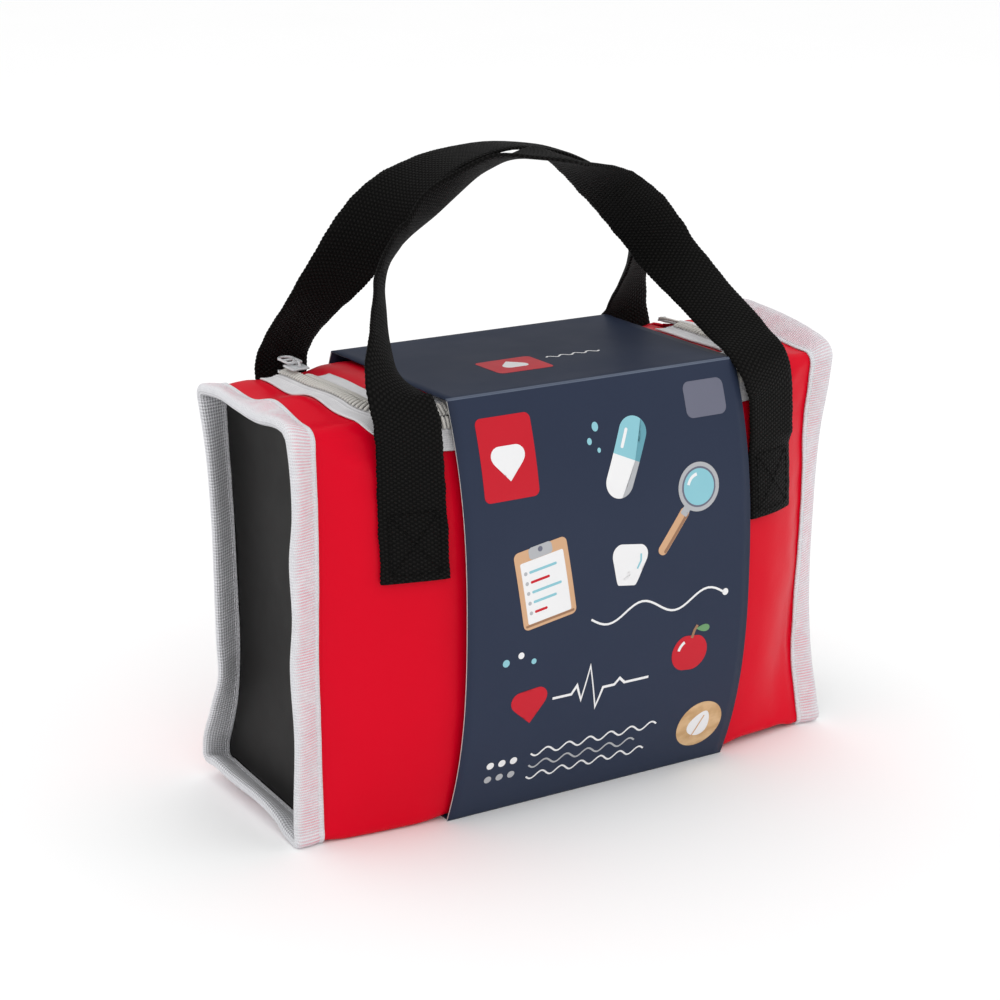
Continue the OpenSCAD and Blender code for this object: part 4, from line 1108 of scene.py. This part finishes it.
def leg_threads(side, leg):
    """The threads of a leg's sewn box and its cross."""
    corner = [(-10, 3), (10, 3), (10, 27), (-10, 27)]
    runs = [(corner[k], corner[(k + 1) % 4]) for k in range(4)]
    runs += [(corner[0], corner[2]), (corner[1], corner[3])]
    pitch, start, end = 3.3, 0.5, 2.9
    threads = []
    for a, b in runs:
        length = math.dist(a, b)
        for k in range(int(length / pitch)):
            ends = []
            for d in (k * pitch + start, k * pitch + end):
                u, v = (a[i] + (b[i] - a[i]) * d / length for i in (0, 1))
                out = LEG_OUT + WEBBING_T + 0.02
                ends.append(place(leg_x(side, leg) + u, down_side(side, LEG_BOTTOM + v), out))
            threads.append((*ends, (0, side, 0)))
    return threads


marks = [thread for side in (-1, 1) for leg in (-1, 1) for thread in leg_threads(side, leg)]
finish_piece(stitches("leg_stitches", marks, 0.22, THREAD), "case", "thread", "handle_stitches")

# ---------------------------------------------------------------- card sleeve
CREASE_Y = HALF + BELLY + CREASE_OUT + CARD_T
SLEEVE_TOP = HEIGHT + SLEEVE_RISE
LEFT, RIGHT = SLEEVE_X - SLEEVE_W / 2, SLEEVE_X + SLEEVE_W / 2


def card_y(side, z):
    """How far the bowed card stands from the case's middle."""
    bow = 1 - np.abs(2 * z / SLEEVE_TOP - 1) ** 2.5
    return side * (CREASE_Y + (SWELL + CARD_SWELL) * bow)


FRONT_Z = np.linspace(SLEEVE_TOP - 0.35, 0.0, 200)
front_y = card_y(-1, FRONT_Z)
FRONT_RUN = np.concatenate([[0], np.cumsum(np.hypot(np.diff(front_y), np.diff(FRONT_Z)))])
CARD_DROP = FRONT_RUN[-1]


def card_front(x, drop, out=0.0):
    """A point of the front card, drop below its top crease, measured down the card."""
    z = np.interp(drop, FRONT_RUN, FRONT_Z)
    y = card_y(-1, z)
    slope = np.gradient(card_y(-1, FRONT_Z), FRONT_Z)
    g = np.interp(drop, FRONT_RUN, slope)
    n = unit(np.stack([np.zeros_like(z), -np.ones_like(z), g], -1))
    wave = 0.16 * ripple(np.stack([x + 0 * z, y, z], -1), 90, 71)
    loose = smooth((SLEEVE_TOP - z) / 12) * smooth(z / 12)
    return np.stack(np.broadcast_arrays(x, y, z), -1) + n * (out + wave * loose)[..., None]


def pick_worn(obj, at_crease):
    """Gives the card's creases their worn finish, its third material."""
    worn = 2
    picks = [worn if at_crease(f) else 0 for f in obj.data.polygons]
    obj.data.polygons.foreach_set("material_index", picks)


xs = np.linspace(LEFT, RIGHT, 34)
drops = np.concatenate([[0, 0.5, 1.1], np.linspace(3, CARD_DROP - 3, 66), [CARD_DROP - 1, CARD_DROP]])
front = np.array([card_front(xs, np.full_like(xs, d)) for d in drops])
base_y = np.linspace(-CREASE_Y + 0.4, CREASE_Y - 0.4, 26)
base = np.array([np.stack([xs, np.full_like(xs, y), np.full_like(xs, 0.02)], -1) for y in base_y])
zs = np.concatenate([[0.0, 1.5], np.linspace(4, SLEEVE_TOP - 3, 60), [SLEEVE_TOP - 0.9, SLEEVE_TOP - 0.35]])
rear = np.array([np.stack([xs, card_y(1, np.full_like(xs, z)), np.full_like(xs, z)], -1) for z in zs])
sleeve = grid("card_sleeve", np.concatenate([front, base, rear]), [CARD, CARD_EDGE, WORN])
wall(sleeve, CARD_T)
sleeve.modifiers["wall"].material_offset_rim = 1
pick_worn(sleeve, lambda f: f.center.z > (SLEEVE_TOP - 1.0) * MM)
finish_piece(sleeve, "case", "card", "sleeve_wrap")

ys = np.concatenate([[-CREASE_Y + 0.02, -CREASE_Y + 0.3, -CREASE_Y + 0.8],
                     np.linspace(-CREASE_Y + 3, CREASE_Y - 3, 36),
                     [CREASE_Y - 0.8, CREASE_Y - 0.3, CREASE_Y - 0.02]])


def top_z(x, y):
    """Height of the sleeve's top, which sags and waves a little between its creases."""
    inside = smooth((CREASE_Y - abs(y)) / 12)
    return SLEEVE_TOP + (0.25 * ripple(np.stack([x, y + 0 * x, 0 * x], -1), 80, 73) - 0.25) * inside


top = []
for y in ys:
    crease = 0.22 * math.exp(-((CREASE_Y - abs(y)) / 0.5) ** 2)
    top.append(np.stack([xs, np.full_like(xs, y), top_z(xs, y) - crease], -1))
sleeve_top = grid("card_sleeve_top", np.array(top), [CARD, CARD_EDGE, WORN], flip=True)
wall(sleeve_top, CARD_T)
pick_worn(sleeve_top, lambda f: abs(f.center.y) > (CREASE_Y - 0.75) * MM)
finish_piece(sleeve_top, "sleeve_top", "card", "sleeve_top")

# ---------------------------------------------------------------- print on the card
def ink(name, dark, light, rough, **sockets):
    return plain(name + "_ink", dark, light, rough, 900, 0.00002, **sockets)


INKS = {
    "red": ink("red", (0.50, 0.001, 0.012), (0.58, 0.002, 0.018), 0.34, Specular_IOR_Level=0.3),
    "white": ink("white", (0.76, 0.76, 0.77), (0.84, 0.84, 0.84), 0.4),
    "blue": ink("pale_blue", (0.20, 0.49, 0.57), (0.27, 0.56, 0.63), 0.36),
    "teal": ink("teal", (0.09, 0.29, 0.36), (0.12, 0.34, 0.41), 0.36),
    "tan": ink("tan", (0.56, 0.32, 0.17), (0.66, 0.40, 0.23), 0.4),
    "brown": ink("brown", (0.27, 0.13, 0.065), (0.33, 0.17, 0.085), 0.4),
    "grey": ink("grey", (0.115, 0.12, 0.17), (0.14, 0.145, 0.20), 0.38),
    "silver": ink("silver", (0.36, 0.37, 0.39), (0.46, 0.47, 0.49), 0.36),
    "green": ink("green", (0.10, 0.26, 0.10), (0.14, 0.32, 0.13), 0.4),
    "wood": wood("printed_wood", (0.50, 0.29, 0.12), (0.70, 0.47, 0.25)),
}
INK_NAMES = list(INKS)
CARD_STEP = 2.5  # the print is cut into strips this high, so that it follows the bowed card


def turned(points, x, y, angle=0.0):
    """Points turned by angle and moved to (x, y). On the print y runs down the card."""
    c, s = math.cos(math.radians(angle)), math.sin(math.radians(angle))
    return [(x + px * c - py * s, y + px * s + py * c) for px, py in points]


def oval(x, y, rx, ry=None, angle=0.0, start=0, end=360, n=40):
    ry = ry or rx
    full = end - start == 360
    ang = np.radians(np.linspace(start, end, n, endpoint=not full))
    return turned([(rx * math.cos(a), ry * math.sin(a)) for a in ang], x, y, angle)


def panel(x, y, w, h, r, angle=0.0):
    points = []
    for cx, cy, a in ((1, 1, 0), (-1, 1, 90), (-1, -1, 180), (1, -1, 270)):
        points += oval(cx * (w / 2 - r), cy * (h / 2 - r), r, start=a, end=a + 90, n=8)
    return turned(points, x, y, angle)


def heart(x, y, size, angle=0.0):
    ang = np.linspace(0, 2 * math.pi, 48, endpoint=False)
    return turned([(size / 16 * math.sin(a) ** 3 * 8, -size / 32 * (13 * math.cos(a) - 5 * math.cos(2 * a)
                    - 2 * math.cos(3 * a) - math.cos(4 * a))) for a in ang], x, y, angle)


def line(points, width):
    """A drawn line: its two edges, mitred at its corners."""
    p = np.array(points, float)
    step = unit(np.diff(p, axis=0))
    step = np.vstack([step[:1], step, step[-1:]])
    t = unit(step[:-1] + step[1:])
    n = np.stack([-t[:, 1], t[:, 0]], -1)
    bend = np.clip(np.abs(np.sum(t * step[1:], -1)), 0.45, 1)
    n = n * (width / 2 / bend)[:, None]
    return [tuple(q) for q in np.vstack([p + n, (p - n)[::-1]])]


def drawing(name, shapes, onto):
    """Printed shapes as one thin layer of ink: (ink, layer, outline) rows, laid on the card by onto()."""
    all_points, all_faces, picks = [], [], []
    for ink_name, layer, outline_points in shapes:
        bm = bmesh.new()
        face = bm.faces.new([bm.verts.new((q[0], q[1], 0)) for q in outline_points])
        bmesh.ops.triangulate(bm, faces=[face], ngon_method="EAR_CLIP")
        lows = min(q[1] for q in outline_points)
        highs = max(q[1] for q in outline_points)
        for k in range(math.floor(lows / CARD_STEP) + 1, math.ceil(highs / CARD_STEP)):
            bmesh.ops.bisect_plane(bm, geom=bm.verts[:] + bm.edges[:] + bm.faces[:],
                                   plane_co=(0, k * CARD_STEP, 0), plane_no=(0, 1, 0))
        bm.verts.index_update()
        xy = np.array([v.co[:2] for v in bm.verts])
        laid = onto(xy[:, 0], xy[:, 1], 0.07 + 0.03 * layer)
        base = len(all_points)
        all_points += list(laid)
        for f in bm.faces:
            corners = [v.index for v in f.verts]
            (x0, y0), (x1, y1), (x2, y2) = xy[corners[0]], xy[corners[1]], xy[corners[2]]
            area = (x1 - x0) * (y2 - y0) - (x2 - x0) * (y1 - y0)
            corners = corners if area > 0 else corners[::-1]
            all_faces.append([base + c for c in corners])
            picks.append(INK_NAMES.index(ink_name))
        bm.free()
    obj = make(name, all_points, all_faces, list(INKS.values()), picks=picks, flat=True)
    wall(obj, 0.04)
    return obj


def on_front(u, v, out):
    return card_front(LEFT + u, v, np.full_like(v, out))


def on_top(u, v, out):
    x, y = LEFT + u, v - CREASE_Y
    return np.stack(np.broadcast_arrays(x, y, top_z(x, y) + out), -1)


shapes = []


def draw(ink_name, layer, outline_points):
    shapes.append((ink_name, layer, outline_points))


def clipboard(x, y, angle):
    def at(u, v):
        return turned([(u, v)], x, y, angle)[0]

    draw("tan", 0, panel(x, y, 25, 33, 2.4, angle))
    draw("brown", 1, panel(*at(0, 14.9), 23, 1.0, 0.4, angle))
    draw("white", 1, panel(*at(0, 1.3), 20.4, 26, 0.8, angle))
    draw("silver", 2, panel(*at(0, -14.3), 11, 5, 1.6, angle))
    draw("grey", 3, oval(*at(0, -15), 1.1))
    for k, (w, tint) in enumerate(((13, "blue"), (9, "red"), (14, "blue"), (11, "blue"), (6, "red"))):
        row = -7 + k * 4.2
        draw(tint, 2, panel(*at(w / 2 - 6.6, row), w, 1.1, 0.5, angle))
        draw("silver", 2, oval(*at(-8.3, row), 0.8, n=14))


def capsule(x, y, angle):
    r, reach, seam = 6.5, 10.5, 0.2
    lower = oval(0, reach, r, start=0, end=180, n=20) + [(-r, seam), (r, seam)]
    upper = oval(0, -reach, r, start=180, end=360, n=20) + [(r, seam), (-r, seam)]
    upper_shade = oval(0, -reach, r, start=290, end=360, n=12) + [(r, seam), (r - 2.2, seam), (r - 2.2, -reach)]
    lower_shade = [(r - 2.2, seam), (r, seam)] + oval(0, reach, r, start=0, end=60, n=10) + [(r - 2.4, reach)]
    draw("white", 0, turned(lower, x, y, angle))
    draw("blue", 0, turned(upper, x, y, angle))
    draw("teal", 1, turned(upper_shade, x, y, angle))
    draw("silver", 1, turned(lower_shade, x, y, angle))
    draw("white", 2, panel(*turned([(-3.3, -7)], x, y, angle)[0], 1.4, 8.5, 0.7, angle))


def magnifier(x, y, angle):
    draw("tan", 0, panel(*turned([(0, 21)], x, y, angle)[0], 4.6, 22, 2.2, angle))
    draw("brown", 1, panel(*turned([(1.5, 21)], x, y, angle)[0], 1.3, 19, 0.6, angle))
    draw("silver", 1, panel(*turned([(0, 11.2)], x, y, angle)[0], 3.6, 4.4, 0.6, angle))
    draw("silver", 2, oval(x, y, 10.2))
    draw("grey", 3, oval(x, y, 8.4))
    draw("blue", 4, oval(x, y, 7.6, angle=angle))
    draw("white", 5, line(oval(x, y, 5.4, start=195, end=262, n=12), 1.3))


def apple(x, y, size, angle):
    ang = np.linspace(0, 2 * math.pi, 44, endpoint=False)
    body = []
    for a in ang:
        dents = 0.13 * math.exp(-((a - 4.712) / 0.34) ** 2) + 0.07 * math.exp(-((a - 1.571) / 0.3) ** 2)
        r = size * (1 - dents)
        body.append((r * 1.04 * math.cos(a), r * 0.98 * math.sin(a)))
    stalk = [(0, -size * 0.75), (0.8, -size * 1.15), (2.0, -size * 1.4)]
    leaf = []
    for a in np.linspace(0, 2 * math.pi, 24, endpoint=False):
        half = 1 if a < math.pi else 0.9
        leaf.append((1.6 + 3.4 * (1 - math.cos(a)), -size * 1.22 - 2.2 * math.sin(a) * math.sin(a / 2) * half))
    gleam = oval(0, 0, size * 0.68, start=190, end=235, n=8)
    draw("red", 0, turned(body, x, y, angle))
    draw("brown", 1, turned(line(stalk, 1.3), x, y, angle))
    draw("green", 1, turned(leaf, x, y, angle))
    draw("white", 1, line(turned(gleam, x, y, angle), 1.3))


def tooth(x, y, size, angle):
    q = np.array([
        (-0.5, 1.0), (-0.7, 0.55), (-0.78, 0.1), (-1.0, -0.3), (-0.98, -0.7), (-0.72, -0.97), (-0.38, -0.98),
        (0, -0.66), (0.38, -0.98), (0.72, -0.97), (0.98, -0.7), (1.0, -0.3), (0.78, 0.1), (0.7, 0.55),
        (0.5, 1.0), (0.3, 0.9), (0.2, 0.5), (0, 0.2), (-0.2, 0.5), (-0.3, 0.9)])
    soft = []
    for i in range(len(q)):
        near = q[i - 1], q[i], q[(i + 1) % len(q)], q[(i + 2) % len(q)]
        soft += [tuple(size * through(*near, k)) for k in np.arange(4) / 4]
    shade = [(size * 0.62, -size * 0.55), (size * 0.66, -size * 0.2), (size * 0.5, size * 0.2)]
    draw("white", 0, turned(soft, x, y, angle))
    draw("blue", 1, line(turned(shade, x, y, angle), 0.8))


def wave(x, y, w, height, turns, width, tint="white"):
    k = np.linspace(0, 1, turns * 16 + 1)
    draw(tint, 0, line([(x + w * q, y + height * math.sin(q * turns * 2 * math.pi)) for q in k], width))


def bean(x, y, angle):
    """A seed with its line, on the slice of wood."""
    ang = np.linspace(0, 2 * math.pi, 32, endpoint=False)
    edge = [(5.2 * math.sin(a) * (1 - 0.35 * math.cos(a)), -6.4 * math.cos(a)) for a in ang]
    draw("white", 1, turned(edge, x, y, angle))
    draw("tan", 2, turned(line([(0, -4.2), (0, 8.2)], 0.7), x, y, angle))


draw("red", 0, panel(22.5, 25.5, 25, 33, 2.6))
draw("white", 1, heart(22.5, 26.5, 15.5))
draw("grey", 0, panel(118.5, 14.5, 20, 15, 3.2))
capsule(77, 33, 24)
for dx, dy, r in ((-9, -3, 1.5), (-12.5, 2.5, 1.1), (-8.5, 6.5, 0.8)):
    draw("blue", 0, oval(77 + dx - 4, 22 + dy, r, r * 1.3, n=16))
magnifier(111, 50, 38)
clipboard(36, 78, -9)
tooth(76, 77, 8.4, 8)
wave(58, 97, 66, 3.4, 2, 0.9)
draw("white", 0, oval(124.8, 97, 1.5, n=18))
apple(108, 121, 8.6, 6)
draw("red", 0, heart(30, 128, 17, -6))
pulse = [(41, 128), (50, 128), (52.5, 124.5), (55, 131.5), (58.5, 117), (62.5, 136.5), (65.5, 128), (71, 128),
         (73.5, 125.5), (76, 128), (88, 128)]
draw("white", 0, line(pulse, 1.1))
for k, (dx, dy) in enumerate(((0, 0), (7, -2), (13, 1.5))):
    draw(("blue", "white", "blue")[k], 0, oval(18 + dx, 108 + dy, 1.6 - 0.2 * k, n=18))
wave(34, 152.5, 62, 1.5, 6, 0.8)
wave(34, 158.5, 52, 1.5, 5, 0.8, "silver")
wave(34, 164.5, 58, 1.5, 6, 0.8)
for k in range(3):
    draw("white", 0, oval(15 + k * 5.5, 154, 1.7, n=20))
    draw("silver", 0, oval(15 + k * 5.5, 161, 1.7, n=20))
draw("wood", 0, oval(119.5, 158.5, 11.5, n=56))
bean(119.5, 158, 24)
print_front = drawing("card_print_front", shapes, on_front)
finish_piece(print_front, "case", "card")

shapes = []
draw("red", 0, panel(52, 34, 26, 21, 2.4))
draw("white", 1, heart(52, 34.5, 11.5))
wave(70, 38, 26, 1.1, 4, 0.8)
print_top = drawing("card_print_top", shapes, on_top)
finish_piece(print_top, "sleeve_top", "card")

# ---------------------------------------------------------------- floor, light and camera
bpy.ops.mesh.primitive_plane_add(size=60)
floor = bpy.context.object
floor.name = "floor"
m = Shader("pale_floor", Roughness=0.9, Specular_IOR_Level=0.1)
m.set("Base Color", m.mix(m.noise(3, 2), (0.945, 0.945, 0.945), (0.96, 0.96, 0.96)))
floor.data.materials.append(m.material)

world = bpy.data.worlds.new("soft_room")
bpy.context.scene.world = world
world.use_nodes = True
room = world.node_tree.nodes["Background"]
room.inputs[0].default_value = (1, 1, 1, 1)
# glossy rays see a dimmer room, so that dark cloth and red vinyl keep their depth
ray = world.node_tree.nodes.new("ShaderNodeLightPath")
dimmer = world.node_tree.nodes.new("ShaderNodeMapRange")
world.node_tree.links.new(ray.outputs["Is Glossy Ray"], dimmer.inputs["Value"])
dimmer.inputs["To Min"].default_value = 1.05
dimmer.inputs["To Max"].default_value = 0.45
world.node_tree.links.new(dimmer.outputs[0], room.inputs[1])
bpy.context.scene.view_settings.view_transform = "Standard"


def lamp(name, spot, aim, size, watts):
    data = bpy.data.lights.new(name, "AREA")
    data.shape = "RECTANGLE"
    data.size, data.size_y = size
    data.energy = watts
    obj = bpy.data.objects.new(name, data)
    bpy.context.scene.collection.objects.link(obj)
    obj.location = spot
    obj.rotation_euler = (Vector(aim) - Vector(spot)).to_track_quat("-Z", "Y").to_euler()


lamp("key", (-0.9, -1.5, 1.5), (0, 0, 0.1), (1.2, 1.2), 3.5)
lamp("top", (0.2, 0.2, 1.9), (0, 0, 0.1), (1.6, 1.6), 3)
lamp("fill", (1.6, -0.9, 0.7), (0, 0, 0.1), (1.0, 1.2), 1.2)

# the camera was fitted to the photo: angles in degrees, lens in millimetres, places in metres
yaw, pitch, roll = np.radians([31.99, 16.98, 0.32])
aim, distance = Vector((-0.01251, 0, 0.11478)), 0.99869
back = Vector((-math.sin(yaw) * math.cos(pitch), -math.cos(yaw) * math.cos(pitch), math.sin(pitch)))
right = (-back).cross(Vector((0, 0, 1))).normalized()
up = right.cross(-back)
right, up = right * math.cos(roll) + up * math.sin(roll), up * math.cos(roll) - right * math.sin(roll)
data = bpy.data.cameras.new("camera")
data.sensor_width = 36
data.lens = 86.43
camera = bpy.data.objects.new("camera", data)
bpy.context.scene.collection.objects.link(camera)
turn = Matrix((right, up, back)).transposed().to_4x4()
camera.matrix_world = Matrix.Translation(aim + back * distance) @ turn
bpy.context.scene.camera = camera
